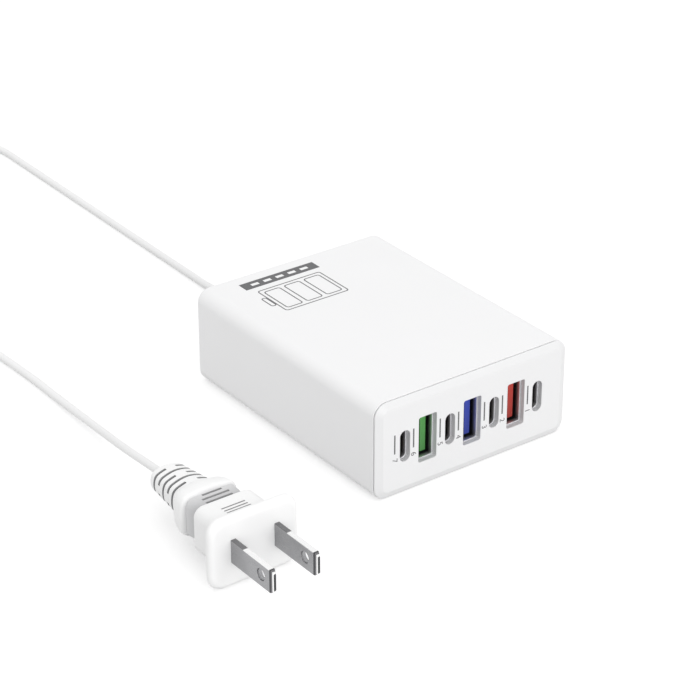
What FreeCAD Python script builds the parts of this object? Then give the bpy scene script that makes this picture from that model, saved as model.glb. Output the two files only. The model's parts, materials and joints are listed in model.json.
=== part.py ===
"""Seven-port desktop charger with its mains lead and two-pin plug.

Millimetres. The ports face -Y, +X runs along their row and +Z is up. The origin is the middle of
the underside of the case.
"""
import FreeCAD, Part
import math
import os
import re

import Sketcher
from FreeCAD import Placement, Rotation, Vector

SIZES = (
    ("case_width", 63.0, "outside, along the row of ports"),
    ("case_depth", 82.0, "outside, front to back"),
    ("case_height", 28.0, "outside"),
    ("case_corner", 3.8, "radius of the four long edges"),
    ("case_wall", 2.2, "sleeve and closed back"),
    ("cavity_corner", 1.5, "radius of the long edges inside"),
    ("rear_edge", 1.2, "radius round the back face"),
    ("rail_reach", 1.8, "board rails, from the side wall"),
    ("rail_height", 1.2, "each board rail"),
    ("panel_gap", 0.1, "step down from the case to the front panel"),
    ("panel_thickness", 2.4, "front panel"),
    ("bevel_width", 2.2, "sloping border of the front panel"),
    ("bevel_depth", 1.0, "fall of that border"),
    ("panel_side", 0.2, "straight edge between that border and the case"),
    ("skirt_wall", 1.2, "frame behind the front panel"),
    ("skirt_depth", 3.0, "how far that frame reaches into the case"),
    ("slide_gap", 0.15, "pieces that slide into each other"),
    ("board_gap", 0.2, "boards to the case"),
    ("port_pitch", 7.3, "from one port to the next"),
    ("port_shift", -0.5, "middle of the row, right of the case's middle"),
    ("port_gap", 0.03, "shells to the front panel"),
    ("port_recess", 1.6, "shell mouths behind the panel's face"),
    ("shell_length", 13.0, "port shells, mouth to port board"),
    ("shell_wall", 0.3, "sheet metal of the port shells"),
    ("seat_gap", 0.04, "port insulators inside their shells"),
    ("usb_a_width", 5.7, "large shell, outside, across"),
    ("usb_a_height", 13.1, "large shell, outside, upright"),
    ("usb_a_corner", 0.5, "large shell, outside corner"),
    ("usb_a_tongue", 1.84, "thickness of the coloured tongue"),
    ("usb_a_tongue_height", 11.1, "the tongue, upright"),
    ("usb_a_tongue_inset", 1.5, "the tongue's end behind the mouth"),
    ("usb_a_back_gap", 0.9, "slit behind the tongue"),
    ("usb_a_base", 3.2, "depth of the block that carries the tongue"),
    ("contact_width", 1.0, "large port's contacts"),
    ("contact_thickness", 0.2, "large port's contacts"),
    ("contact_inset", 0.8, "contacts behind the tongue's end"),
    ("contact_inner_pitch", 2.0, "between the two middle contacts"),
    ("contact_outer_pitch", 2.5, "from middle to outer contact"),
    ("usb_c_width", 3.16, "small shell, outside, across"),
    ("usb_c_height", 8.94, "small shell, outside, upright"),
    ("usb_c_tongue", 0.7, "thickness of the small tongue"),
    ("usb_c_tongue_height", 6.69, "the small tongue, upright"),
    ("usb_c_tongue_inset", 0.8, "the small tongue's end behind the mouth"),
    ("usb_c_mouth", 6.2, "depth of the small port"),
    ("pad_pitch", 0.5, "small port's contacts"),
    ("pad_width", 0.25, "small port's contacts"),
    ("pad_length", 3.6, "small port's contacts"),
    ("pad_thickness", 0.06, "small port's contacts"),
    ("pad_inset", 0.5, "small contacts behind the tongue's end"),
    ("board_thickness", 1.6, "main board and port board"),
    ("board_level", 4.6, "underside of the main board"),
    ("link_width", 40.0, "strip that joins the boards"),
    ("link_depth", 2.2, "strip that joins the boards"),
    ("link_height", 2.6, "strip that joins the boards"),
    ("inductor_size", 6.6, "port inductors, square"),
    ("inductor_height", 3.4, "port inductors"),
    ("inductor_pitch", 10.0, "port inductors"),
    ("inductor_place", 6.5, "behind the port board"),
    ("chip_size", 4.4, "port controllers, square"),
    ("chip_height", 0.9, "port controllers"),
    ("chip_gap", 2.4, "port controllers to the side walls"),
    ("output_can", 7.6, "diameter of the output capacitors"),
    ("output_can_height", 11.0, "output capacitors"),
    ("output_pitch", 8.1, "output capacitors"),
    ("output_place", 15.0, "behind the port board"),
    ("sink_thickness", 1.5, "heat sink plates"),
    ("sink_length", 33.0, "heat sink plates"),
    ("sink_height", 15.0, "heat sink plates"),
    ("sink_spread", 25.0, "between the plates' inner faces"),
    ("sink_start", 10.5, "behind the port board"),
    ("sink_slot", 1.6, "slots in the plates' top edge"),
    ("sink_slot_depth", 5.0, "slots in the plates' top edge"),
    ("sink_slot_pitch", 6.0, "slots in the plates' top edge"),
    ("switch_width", 10.0, "power transistors"),
    ("switch_body", 4.4, "power transistors, front to back"),
    ("switch_body_height", 9.0, "power transistors, moulded part"),
    ("switch_tab", 1.3, "power transistors, metal tab"),
    ("switch_tab_height", 12.4, "power transistors, tab with moulded part"),
    ("switch_hole", 3.2, "hole in the tab"),
    ("switch_leg", 0.8, "legs, square"),
    ("switch_leg_length", 2.4, "legs"),
    ("switch_leg_pitch", 2.54, "legs"),
    ("switch_place", 16.0, "behind the port board"),
    ("core_width", 21.0, "transformer core"),
    ("core_depth", 22.0, "transformer core"),
    ("core_height", 6.5, "transformer core"),
    ("core_leg", 3.2, "its outer legs"),
    ("core_yoke", 3.4, "its ends"),
    ("core_middle", 6.4, "its middle leg"),
    ("bobbin_wall", 0.8, "bobbin tube and flanges"),
    ("bobbin_height", 14.0, "bobbin flanges"),
    ("winding_fill", 0.9, "winding below the edge of the flanges"),
    ("core_gap", 0.15, "bobbin to core"),
    ("core_place", 32.0, "behind the port board"),
    ("bulk_can", 11.0, "diameter of the bulk capacitors"),
    ("bulk_can_length", 20.0, "bulk capacitors"),
    ("bulk_gap", 0.8, "bulk capacitors to the side walls"),
    ("bulk_start", 22.5, "behind the port board"),
    ("choke_outer", 10.0, "choke core, diameter"),
    ("choke_inner", 5.4, "choke core, diameter"),
    ("choke_height", 4.4, "choke core"),
    ("choke_wire", 0.9, "thickness of its windings"),
    ("choke_arc", 130.0, "each winding round the core, degrees"),
    ("choke_side", 18.0, "right of the middle"),
    ("choke_place", 49.0, "behind the port board"),
    ("film_width", 13.0, "film capacitor"),
    ("film_depth", 6.0, "film capacitor"),
    ("film_height", 12.0, "film capacitor"),
    ("film_edge", 0.6, "film capacitor, radius of its upright edges"),
    ("film_side", -19.0, "right of the middle"),
    ("film_place", 46.8, "behind the port board"),
    ("bridge_width", 12.0, "bridge rectifier"),
    ("bridge_depth", 3.4, "bridge rectifier"),
    ("bridge_height", 9.0, "bridge rectifier"),
    ("bridge_notch", 2.2, "its cut corner"),
    ("bridge_side", -19.0, "right of the middle"),
    ("bridge_place", 53.0, "behind the port board"),
    ("fuse_diameter", 7.0, "fuse"),
    ("fuse_height", 7.6, "fuse"),
    ("fuse_side", -7.8, "right of the middle"),
    ("fuse_place", 47.8, "behind the port board"),
    ("disc_diameter", 7.0, "safety capacitor"),
    ("disc_thickness", 3.0, "safety capacitor"),
    ("disc_side", 6.4, "right of the middle"),
    ("disc_place", 45.6, "behind the port board"),
    ("opto_width", 4.6, "optocoupler"),
    ("opto_depth", 6.4, "optocoupler"),
    ("opto_height", 3.4, "optocoupler"),
    ("opto_side", 6.2, "right of the middle"),
    ("opto_place", 51.2, "behind the port board"),
    ("wire_diameter", 1.6, "live and neutral wires"),
    ("wire_spread", 2.2, "between the two wires"),
    ("wire_reach", 9.6, "wires, from the back wall to their pads"),
    ("cord_diameter", 2.2, "mains lead"),
    ("exit_run", 7.5, "straight start of the lead at bush and plug"),
    ("bush_flange", 9.0, "bush, flanges on both sides of the wall"),
    ("bush_inside", 1.5, "bush, flange inside the wall"),
    ("bush_collar", 2.0, "bush, flange outside the wall"),
    ("bush_neck", 6.4, "bush, through the wall"),
    ("bush_gap", 0.1, "bush to the hole in the wall"),
    ("bush_root", 7.0, "bush, thick end of its sleeve"),
    ("bush_tip", 3.6, "bush, thin end of its sleeve"),
    ("bush_length", 10.0, "bush, outside the case"),
    ("coil_side", -58.0, "middle of the coil, right of the case's middle"),
    ("coil_back", 222.0, "middle of the coil, behind the case's middle"),
    ("coil_mean", 32.2, "diameter at the middle of its turns"),
    ("coil_width", 6.8, "bundle of turns, across"),
    ("coil_height", 6.6, "bundle of turns, upright"),
    ("tie_thickness", 0.6, "band round the coil"),
    ("tie_width", 6.0, "band round the coil"),
    ("tie_gap", 0.4, "band to the turns at each side"),
    ("tie_angle", -40.0, "place of the band on the coil, degrees"),
    ("plug_side", -75.3, "axis of the plug, right of the case's middle"),
    ("plug_face", -50.8, "front face of the plug"),
    ("flange_width", 25.9, "plug, front flange"),
    ("flange_height", 19.5, "plug, front flange, which lies on the ground"),
    ("flange_corner", 5.0, "plug, front flange"),
    ("flange_thickness", 3.2, "plug, front flange"),
    ("flange_edge", 1.3, "rounding of the flange's front edge"),
    ("flare_length", 7.6, "flange to block"),
    ("block_width", 17.6, "plug, block behind the flange"),
    ("block_height", 12.8, "plug, block behind the flange"),
    ("block_corner", 3.4, "plug, block behind the flange"),
    ("block_end", 12.9, "back of the block, from the face"),
    ("grip_step", 0.4, "length of the step down to the grip"),
    ("waist_width", 14.2, "plug, finger grip"),
    ("waist_height", 9.4, "plug, finger grip"),
    ("waist_corner", 2.2, "plug, finger grip"),
    ("waist_end", 19.2, "back of the grip, from the face"),
    ("shoulder_width", 17.0, "plug, shoulder behind the grip"),
    ("shoulder_height", 12.9, "plug, shoulder behind the grip"),
    ("shoulder_corner", 4.4, "plug, shoulder behind the grip"),
    ("shoulder_rise", 1.3, "length of the shoulder's steep side"),
    ("relief_start", 26.3, "thick end of the strain relief, from the face"),
    ("relief_end", 39.8, "thin end of the strain relief, from the face"),
    ("relief_width", 12.2, "strain relief, thick end"),
    ("relief_height", 9.4, "strain relief, thick end"),
    ("relief_corner", 4.3, "strain relief, thick end"),
    ("tip_width", 9.6, "strain relief, thin end"),
    ("tip_height", 6.8, "strain relief, thin end"),
    ("tip_corner", 3.0, "strain relief, thin end"),
    ("slot_width", 0.9, "strain relief, slots"),
    ("slot_depth", 1.6, "strain relief, slots"),
    ("slot_pitch", 2.4, "strain relief, slots"),
    ("slot_start", 1.5, "first slot from the thick end"),
    ("slot_bridge", 2.6, "material left between two slots"),
    ("grip_length", 6.8, "grooves in the finger grip"),
    ("grip_width", 0.7, "grooves in the finger grip"),
    ("grip_depth", 0.5, "grooves in the finger grip"),
    ("grip_pitch", 1.6, "grooves in the finger grip"),
    ("mark_length", 6.8, "lines in the flare's top"),
    ("mark_width", 0.45, "lines in the flare's top"),
    ("mark_depth", 0.3, "lines in the flare's top"),
    ("mark_pitch", 1.25, "lines in the flare's top"),
    ("mark_place", 7.4, "middle line from the face"),
    ("blade_pitch", 12.7, "between the two blades"),
    ("blade_height", 6.35, "blades"),
    ("blade_rise", 0.5, "blades above the middle of the plug"),
    ("blade_thickness", 1.5, "blades"),
    ("blade_length", 17.5, "blades, outside the plug"),
    ("blade_root", 6.0, "blades, inside the plug"),
    ("blade_gap", 0.03, "blades to the plug"),
    ("blade_taper", 1.4, "length of the blades' bevelled tip"),
    ("blade_edge", 0.5, "thickness taken off each side of the tip"),
    ("blade_corner", 1.0, "cut corners of the tip"),
    ("blade_hole", 3.2, "hole near the tip"),
    ("blade_hole_place", 12.5, "hole from the plug's face"),
)
NAMES = {name for name, value, note in SIZES}

FRONT = "-case_depth / 2"
CASE_FRONT = "(bevel_depth + panel_side - case_depth / 2)"
MID_HEIGHT = "case_height / 2"
BACK_WALL = "(case_depth / 2 - case_wall)"
PORT_MOUTH = "(port_recess - case_depth / 2)"
PORT_BOARD = "(port_recess - case_depth / 2 + shell_length)"
BOARD_FRONT = "(port_recess - case_depth / 2 + shell_length + board_thickness)"
BOARD_TOP = "(board_level + board_thickness)"
PLUG_AXIS = "flange_height / 2"

USB_A_PORTS = 3
USB_C_PORTS = 4
PADS_A_SIDE = 12
INDUCTORS = 4
OUTPUT_CANS = 3
SINK_SLOTS = 5
RELIEF_SLOTS = 5
GRIP_GROOVES = 3
TOP_LINES = 3
ROUND_STEPS = 2
MITRED = 1
ARC_SHARE = 0.45
VOLUME_SLACK = 0.02
FLAT = 1e-4

# Outlines of the plug's rings, and the curves that lead from one to the next: share of the length,
# share of the change.
FLANGE = ("flange_width", "flange_height", "flange_corner")
BLOCK = ("block_width", "block_height", "block_corner")
WAIST = ("waist_width", "waist_height", "waist_corner")
SHOULDER = ("shoulder_width", "shoulder_height", "shoulder_corner")
RELIEF = ("relief_width", "relief_height", "relief_corner")
TIP = ("tip_width", "tip_height", "tip_corner")
FLARE_CURVE = ((0.0, 0.0), (0.11, 0.28), (0.42, 0.68), (1.0, 1.0))
SHOULDER_CURVE = ((0.0, 0.0), (0.55, 0.25), (1.0, 1.0))

ALONG = {
    "x": Rotation(Vector(0, 0, 1), Vector(1, 0, 0)),
    "y": Rotation(Vector(0, 0, 1), Vector(0, 1, 0)),
    "z": Rotation(),
}

# Points of the lead that were chosen by hand: down from the bush, straight along the ground, then
# round to the coil.
LEAD_OUT = (
    (0.3, 65.0, 11.6),
    (0.7, 71.5, 6.6),
    (1.1, 78.0, 2.2),
    (1.6, 86.0, 1.1),
    (2.9, 213.0, 1.1),
    (-0.2, 225.0, 1.1),
    (-7.8, 234.6, 1.1),
    (-20.0, 239.5, 1.3),
    (-55.0, 240.0, 1.8),
)
# From the top of the coil down to the ground, straight along it and up to the plug.
LEAD_IN = (
    (-76.0, 224.0, 5.9),
    (-76.3, 213.0, 5.6),
    (-76.3, 201.0, 3.2),
    (-75.8, 186.0, 1.1),
    (-72.6, 126.0, 1.1),
    (-69.1, 75.0, 1.1),
    (-69.4, 50.0, 1.2),
    (-70.8, 29.5, 3.0),
    (-74.5, 7.0, 7.2),
)

doc = FreeCAD.newDocument("charger")
sheet = doc.addObject("Spreadsheet::Sheet", "Sizes")


def fill_sheet():
    """Write each size into the sheet, beside its name and a note."""
    for row, (name, value, note) in enumerate(SIZES, start=1):
        sheet.set(f"A{row}", name)
        sheet.set(f"B{row}", str(value))
        sheet.setAlias(f"B{row}", name)
        sheet.set(f"C{row}", note)
    doc.recompute()


def size(name):
    """Value of one size, for shapes that code works out."""
    return float(sheet.get(name))


def formula(text):
    """Name the sheet in front of each size in a formula."""
    return re.sub(r"\w+", lambda word: f"Sizes.{word[0]}" if word[0] in NAMES else word[0], text)


def bind(item, target, text):
    item.setExpression(target, formula(text))


def place(item, x="0", y="0", z="0"):
    """Bind where an object stands."""
    for axis, text in zip("xyz", (x, y, z)):
        bind(item, f".Placement.Base.{axis}", text)
    return item


# Primitives and booleans


def box(name, wide, deep, tall, x="0", y="0", z="0"):
    """Block centred on x and y that stands at z."""
    block = doc.addObject("Part::Box", name)
    bind(block, "Length", wide)
    bind(block, "Width", deep)
    bind(block, "Height", tall)
    return place(block, f"{x} - ({wide}) / 2", f"{y} - ({deep}) / 2", z)


def rod(name, diameter, length, x="0", y="0", z="0", along="z"):
    """Cylinder that starts at a point and runs along an axis."""
    cylinder = doc.addObject("Part::Cylinder", name)
    cylinder.Placement = Placement(Vector(), ALONG[along])
    bind(cylinder, "Radius", f"({diameter}) / 2")
    bind(cylinder, "Height", length)
    return place(cylinder, x, y, z)


def fuse(name, *solids):
    joined = doc.addObject("Part::MultiFuse", name)
    joined.Shapes = list(solids)
    joined.Refine = True
    return joined


def cut(name, base, tool):
    rest = doc.addObject("Part::Cut", name)
    rest.Base = base
    rest.Tool = tool
    return rest


def group(name, *solids):
    """Several like solids that share one node."""
    together = doc.addObject("Part::Compound", name)
    together.Links = list(solids)
    return together


def shaped(name, shape):
    """Object for a shape that code has worked out."""
    item = doc.addObject("Part::Feature", name)
    item.Shape = shape
    return item


# Bodies, sketches and their features


def new_body(name):
    return doc.addObject("PartDesign::Body", name)


def origin_part(body, role):
    return next(part for part in body.Origin.OriginFeatures if part.Role == role)


def sketch_on(body, name, role="XZ_Plane", x="0", y="0", out="0"):
    """Sketch on one of the body's planes, moved along the sketch's own axes."""
    sketch = body.newObject("Sketcher::SketchObject", name)
    sketch.AttachmentSupport = [(origin_part(body, role), "")]
    sketch.MapMode = "FlatFace"
    for axis, text in zip("xyz", (x, y, out)):
        bind(sketch, f".AttachmentOffset.Base.{axis}", text)
    return sketch


def section(body, name, depth, x="0", z="0"):
    """Upright sketch at a depth, seen from the front."""
    return sketch_on(body, name, x=x, y=z, out=f"-({depth})")


def limit(sketch, label, text, *constraint):
    """Add a dimension and bind it."""
    number = sketch.addConstraint(Sketcher.Constraint(*constraint))
    sketch.renameConstraint(number, label)
    bind(sketch, f"Constraints.{label}", text)


def outline(sketch, points, tag="p"):
    """Closed outline whose corners are given by formulas."""
    count = len(points)
    turns = [2 * math.pi * k / count for k in range(count)]
    start_ring, start_place = 10.0, 1.0
    ring = [Vector(math.cos(turn), math.sin(turn), 0) * start_ring for turn in turns]
    lines = [
        sketch.addGeometry(Part.LineSegment(ring[k], ring[(k + 1) % count])) for k in range(count)
    ]
    for k, (across, up) in enumerate(points):
        follower = lines[(k + 1) % count]
        sketch.addConstraint(Sketcher.Constraint("Coincident", lines[k], 2, follower, 1))
        limit(sketch, f"{tag}{k}_across", across, "DistanceX", -1, 1, lines[k], 1, start_place)
        limit(sketch, f"{tag}{k}_up", up, "DistanceY", -1, 1, lines[k], 1, start_place)


def rectangle(sketch, wide, tall, x="0", z="0", tag="p"):
    """Rectangle about a point of the sketch."""
    left, right = f"{x} - ({wide}) / 2", f"{x} + ({wide}) / 2"
    low, high = f"{z} - ({tall}) / 2", f"{z} + ({tall}) / 2"
    outline(sketch, ((left, low), (right, low), (right, high), (left, high)), tag)


def rounded_rectangle(sketch, wide, tall, corner):
    """Rectangle with round corners about the sketch's origin."""
    start_corner, start_x, start_y = 1.0, 5.0, 3.0
    arcs = []
    for quarter, (side, level) in enumerate(((1, 1), (-1, 1), (-1, -1), (1, -1))):
        middle = Vector(side * start_x, level * start_y, 0)
        circle = Part.Circle(middle, Vector(0, 0, 1), start_corner)
        first = quarter * math.pi / 2
        arcs.append(sketch.addGeometry(Part.ArcOfCircle(circle, first, first + math.pi / 2)))
    lines = []
    for k in range(4):
        near = sketch.Geometry[arcs[k]].EndPoint
        far = sketch.Geometry[arcs[(k + 1) % 4]].StartPoint
        lines.append(sketch.addGeometry(Part.LineSegment(near, far)))
    for k, heading in enumerate(("Horizontal", "Vertical", "Horizontal", "Vertical")):
        sketch.addConstraint(Sketcher.Constraint("Tangent", arcs[k], 2, lines[k], 1))
        sketch.addConstraint(Sketcher.Constraint("Tangent", lines[k], 2, arcs[(k + 1) % 4], 1))
        sketch.addConstraint(Sketcher.Constraint(heading, lines[k]))
    for arc in arcs[1:]:
        sketch.addConstraint(Sketcher.Constraint("Equal", arcs[0], arc))
    sketch.addConstraint(Sketcher.Constraint("Symmetric", arcs[0], 3, arcs[2], 3, -1, 1))
    limit(sketch, "wide", wide, "DistanceX", lines[1], 1, lines[3], 1, 2 * (start_x + start_corner))
    limit(sketch, "tall", tall, "DistanceY", lines[2], 1, lines[0], 1, 2 * (start_y + start_corner))
    limit(sketch, "corner", corner, "Radius", arcs[0], start_corner)


def upright_slot(sketch, wide, tall):
    """Slot with round ends about the sketch's origin."""
    start_end, start_y = 1.0, 3.0
    arcs = []
    for level, first in ((1, 0), (-1, math.pi)):
        circle = Part.Circle(Vector(0, level * start_y, 0), Vector(0, 0, 1), start_end)
        arcs.append(sketch.addGeometry(Part.ArcOfCircle(circle, first, first + math.pi)))
    for near, far in ((0, 1), (1, 0)):
        start = sketch.Geometry[arcs[near]].EndPoint
        end = sketch.Geometry[arcs[far]].StartPoint
        line = sketch.addGeometry(Part.LineSegment(start, end))
        sketch.addConstraint(Sketcher.Constraint("Tangent", arcs[near], 2, line, 1))
        sketch.addConstraint(Sketcher.Constraint("Tangent", line, 2, arcs[far], 1))
        sketch.addConstraint(Sketcher.Constraint("Vertical", line))
    sketch.addConstraint(Sketcher.Constraint("Symmetric", arcs[0], 3, arcs[1], 3, -1, 1))
    limit(sketch, "end", f"({wide}) / 2", "Radius", arcs[0], start_end)
    limit(sketch, "tall", f"{tall} - ({wide})", "DistanceY", arcs[1], 3, arcs[0], 3, 2 * start_y)


def circle(sketch, diameter):
    start_radius = 1.0
    ring = sketch.addGeometry(Part.Circle(Vector(), Vector(0, 0, 1), start_radius))
    sketch.addConstraint(Sketcher.Constraint("Coincident", ring, 3, -1, 1))
    limit(sketch, "across", diameter, "Diameter", ring, 2 * start_radius)


def pad(body, sketch, length, backwards=True):
    """Grow a sketch; an upright one grows towards the back."""
    feature = body.newObject("PartDesign::Pad", f"{sketch.Name}_pad")
    feature.Profile = sketch
    feature.Reversed = backwards
    bind(feature, "Length", length)
    return feature


def pocket(body, sketch, length):
    """Cut a sketch into the body, towards the back."""
    feature = body.newObject("PartDesign::Pocket", f"{sketch.Name}_pocket")
    feature.Profile = sketch
    bind(feature, "Length", length)
    return feature


def repeat_along_x(body, feature, length, count):
    pattern = body.newObject("PartDesign::LinearPattern", f"{feature.Name}_row")
    pattern.Originals = [feature]
    pattern.Direction = (origin_part(body, "X_Axis"), [""])
    bind(pattern, "Length", length)
    pattern.Occurrences = count
    body.Tip = pattern


def edges_at_depth(feature, depth):
    """Names of the edges that lie in the upright plane at a depth."""
    doc.recompute()
    boxes = [edge.BoundBox for edge in feature.Shape.Edges]
    return [
        f"Edge{number}"
        for number, bounds in enumerate(boxes, start=1)
        if abs(bounds.YMin - depth) < FLAT and abs(bounds.YMax - depth) < FLAT
    ]


def edges_along_y(feature):
    """Names of the straight edges that run front to back."""
    doc.recompute()
    boxes = [edge.BoundBox for edge in feature.Shape.Edges]
    return [
        f"Edge{number}"
        for number, bounds in enumerate(boxes, start=1)
        if bounds.XLength < FLAT and bounds.ZLength < FLAT
    ]


def fillet(body, feature, edges, radius):
    rounded = body.newObject("PartDesign::Fillet", f"{feature.Name}_round")
    rounded.Base = (feature, edges)
    bind(rounded, "Radius", radius)
    return rounded


# Case


def port_x(step):
    """Place of a port in the row, counted from the row's middle."""
    return f"port_shift + {step} * port_pitch"


def make_housing():
    """Sleeve with a closed back, board rails and a cord hole."""
    body = new_body("housing")
    shape = section(body, "case_outline", CASE_FRONT, z=MID_HEIGHT)
    rounded_rectangle(shape, "case_width", "case_height", "case_corner")
    block = pad(body, shape, f"case_depth / 2 - {CASE_FRONT}")
    fillet(body, block, edges_at_depth(block, size("case_depth") / 2), "rear_edge")
    cavity = section(body, "case_cavity", CASE_FRONT, z=MID_HEIGHT)
    inside_width, inside_height = "case_width - 2 * case_wall", "case_height - 2 * case_wall"
    rounded_rectangle(cavity, inside_width, inside_height, "cavity_corner")
    pocket(body, cavity, f"{BACK_WALL} - {CASE_FRONT}")
    rails = section(body, "board_rails", BOARD_FRONT)
    rail_wide = "(rail_reach + case_wall / 2)"
    rail_middle = f"(case_width / 2 - case_wall / 2 - {rail_wide} / 2)"
    below = "board_level - rail_height / 2"
    above = f"{BOARD_TOP} + slide_gap + rail_height / 2"
    for side, sign in (("left", "-"), ("right", "")):
        for level, height in (("low", below), ("high", above)):
            tag = f"{side}_{level}"
            rectangle(rails, rail_wide, "rail_height", f"{sign}{rail_middle}", height, tag)
    pad(body, rails, f"{BACK_WALL} + case_wall / 2 - {BOARD_FRONT}")
    hole = section(body, "cord_hole", BACK_WALL, z=MID_HEIGHT)
    circle(hole, "bush_neck + 2 * bush_gap")
    pocket(body, hole, "case_wall")
    return [body]


def make_front_panel():
    """Cap with a sloping border, a row of seven cut-outs and a frame that plugs into the case."""
    body = new_body("front_panel")
    shape = section(body, "panel_outline", FRONT, z=MID_HEIGHT)
    outer_width, outer_height = "case_width - 2 * panel_gap", "case_height - 2 * panel_gap"
    rounded_rectangle(shape, outer_width, outer_height, "case_corner - panel_gap")
    plate = pad(body, shape, "bevel_depth + panel_side")
    edges = edges_at_depth(plate, -size("case_depth") / 2)
    bevel = body.newObject("PartDesign::Chamfer", "panel_border")
    bevel.Base = (plate, edges)
    bevel.ChamferType = "Two distances"
    bind(bevel, "Size", "bevel_depth")
    bind(bevel, "Size2", "bevel_width")
    reach = "2 * (case_wall + slide_gap)"
    frame_width, frame_height = f"(case_width - {reach})", f"(case_height - {reach})"
    core = section(body, "panel_core", CASE_FRONT, z=MID_HEIGHT)
    rounded_rectangle(core, frame_width, frame_height, "cavity_corner")
    pad(body, core, "panel_thickness - bevel_depth - panel_side")
    frame = section(body, "panel_frame", f"{FRONT} + panel_thickness", z=MID_HEIGHT)
    rounded_rectangle(frame, frame_width, frame_height, "cavity_corner")
    rectangle(frame, f"{frame_width} - 2 * skirt_wall", f"{frame_height} - 2 * skirt_wall")
    pad(body, frame, "skirt_depth")
    first_large, large_row = port_x(1 - USB_A_PORTS), f"{2 * USB_A_PORTS - 2} * port_pitch"
    large = section(body, "large_opening", FRONT, x=first_large, z=MID_HEIGHT)
    rounded_rectangle(
        large, "usb_a_width + 2 * port_gap", "usb_a_height + 2 * port_gap", "usb_a_corner + port_gap"
    )
    repeat_along_x(body, pocket(body, large, "panel_thickness"), large_row, USB_A_PORTS)
    first_small, small_row = port_x(1 - USB_C_PORTS), f"{2 * USB_C_PORTS - 2} * port_pitch"
    small = section(body, "small_opening", FRONT, x=first_small, z=MID_HEIGHT)
    upright_slot(small, "usb_c_width + 2 * port_gap", "usb_c_height + 2 * port_gap")
    repeat_along_x(body, pocket(body, small, "panel_thickness"), small_row, USB_C_PORTS)
    return [body]


# Ports, each in a frame of its own with the middle of its mouth as the origin


def at_port(item, step):
    """Stand a port's piece in the row."""
    return place(item, port_x(step), PORT_MOUTH, MID_HEIGHT)


def make_usb_a_port(number):
    """Large port: sheet metal shell, coloured tongue on its block, four contacts."""
    step = USB_A_PORTS + 1 - 2 * number
    shell = new_body(f"usb_a_shell_{number}")
    outside = section(shell, f"usb_a_outside_{number}", "0")
    rounded_rectangle(outside, "usb_a_width", "usb_a_height", "usb_a_corner")
    pad(shell, outside, "shell_length")
    mouth = section(shell, f"usb_a_mouth_{number}", "0")
    clear_width, clear_height = "(usb_a_width - 2 * shell_wall)", "(usb_a_height - 2 * shell_wall)"
    rectangle(mouth, clear_width, clear_height)
    pocket(shell, mouth, "shell_length")
    tongue = new_body(f"usb_a_tongue_{number}")
    block = section(tongue, f"usb_a_block_{number}", "shell_length - usb_a_base")
    rectangle(block, f"{clear_width} - 2 * seat_gap", f"{clear_height} - 2 * seat_gap")
    pad(tongue, block, "usb_a_base")
    tongue_face = f"({clear_width} / 2 - usb_a_back_gap - usb_a_tongue)"
    plate = section(tongue, f"usb_a_plate_{number}", "usb_a_tongue_inset")
    rectangle(plate, "usb_a_tongue", "usb_a_tongue_height", f"{tongue_face} + usb_a_tongue / 2")
    pad(tongue, plate, "shell_length - usb_a_base - usb_a_tongue_inset")
    contact_start = "(usb_a_tongue_inset + contact_inset)"
    contact_length = f"(shell_length - usb_a_base - {contact_start})"
    contact_x = f"{tongue_face} - contact_thickness / 2"
    strips = []
    inner, outer = "contact_inner_pitch / 2", "(contact_inner_pitch / 2 + contact_outer_pitch)"
    for row, level in enumerate((f"-{outer}", f"-{inner}", inner, outer)):
        strips.append(box(
            f"usb_a_strip_{number}_{row}", "contact_thickness", contact_length, "contact_width",
            contact_x, f"{contact_start} + {contact_length} / 2", f"{level} - contact_width / 2",
        ))
    contacts = group(f"usb_a_contacts_{number}", *strips)
    return [at_port(piece, step) for piece in (shell, tongue, contacts)]


def make_usb_c_port(number):
    """Small port: shell with round ends, tongue in its middle, contacts on both sides of it."""
    step = USB_C_PORTS + 1 - 2 * number
    shell = new_body(f"usb_c_shell_{number}")
    outside = section(shell, f"usb_c_outside_{number}", "0")
    upright_slot(outside, "usb_c_width", "usb_c_height")
    pad(shell, outside, "shell_length")
    mouth = section(shell, f"usb_c_mouth_{number}", "0")
    clear_width, clear_height = "(usb_c_width - 2 * shell_wall)", "(usb_c_height - 2 * shell_wall)"
    upright_slot(mouth, clear_width, clear_height)
    pocket(shell, mouth, "shell_length")
    tongue = new_body(f"usb_c_tongue_{number}")
    block = section(tongue, f"usb_c_block_{number}", "usb_c_mouth")
    upright_slot(block, f"({clear_width} - 2 * seat_gap)", f"({clear_height} - 2 * seat_gap)")
    pad(tongue, block, "shell_length - usb_c_mouth")
    plate = section(tongue, f"usb_c_plate_{number}", "usb_c_tongue_inset")
    rectangle(plate, "usb_c_tongue", "usb_c_tongue_height")
    pad(tongue, plate, "usb_c_mouth - usb_c_tongue_inset")
    pads = []
    for side, sign in (("left", "-"), ("right", "")):
        for row in range(PADS_A_SIDE):
            level = f"({row} - {(PADS_A_SIDE - 1) / 2}) * pad_pitch - pad_width / 2"
            pads.append(box(
                f"usb_c_pad_{number}_{side}_{row}", "pad_thickness", "pad_length", "pad_width",
                f"{sign}(usb_c_tongue + pad_thickness) / 2",
                "usb_c_tongue_inset + pad_inset + pad_length / 2", level,
            ))
    contacts = group(f"usb_c_contacts_{number}", *pads)
    return [at_port(piece, step) for piece in (shell, tongue, contacts)]


# Boards and what stands on them


def on_board(item, side="0", behind="0"):
    """Stand a piece on the main board, at a distance behind the port board."""
    return place(item, side, f"{BOARD_FRONT} + {behind}", BOARD_TOP)


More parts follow.
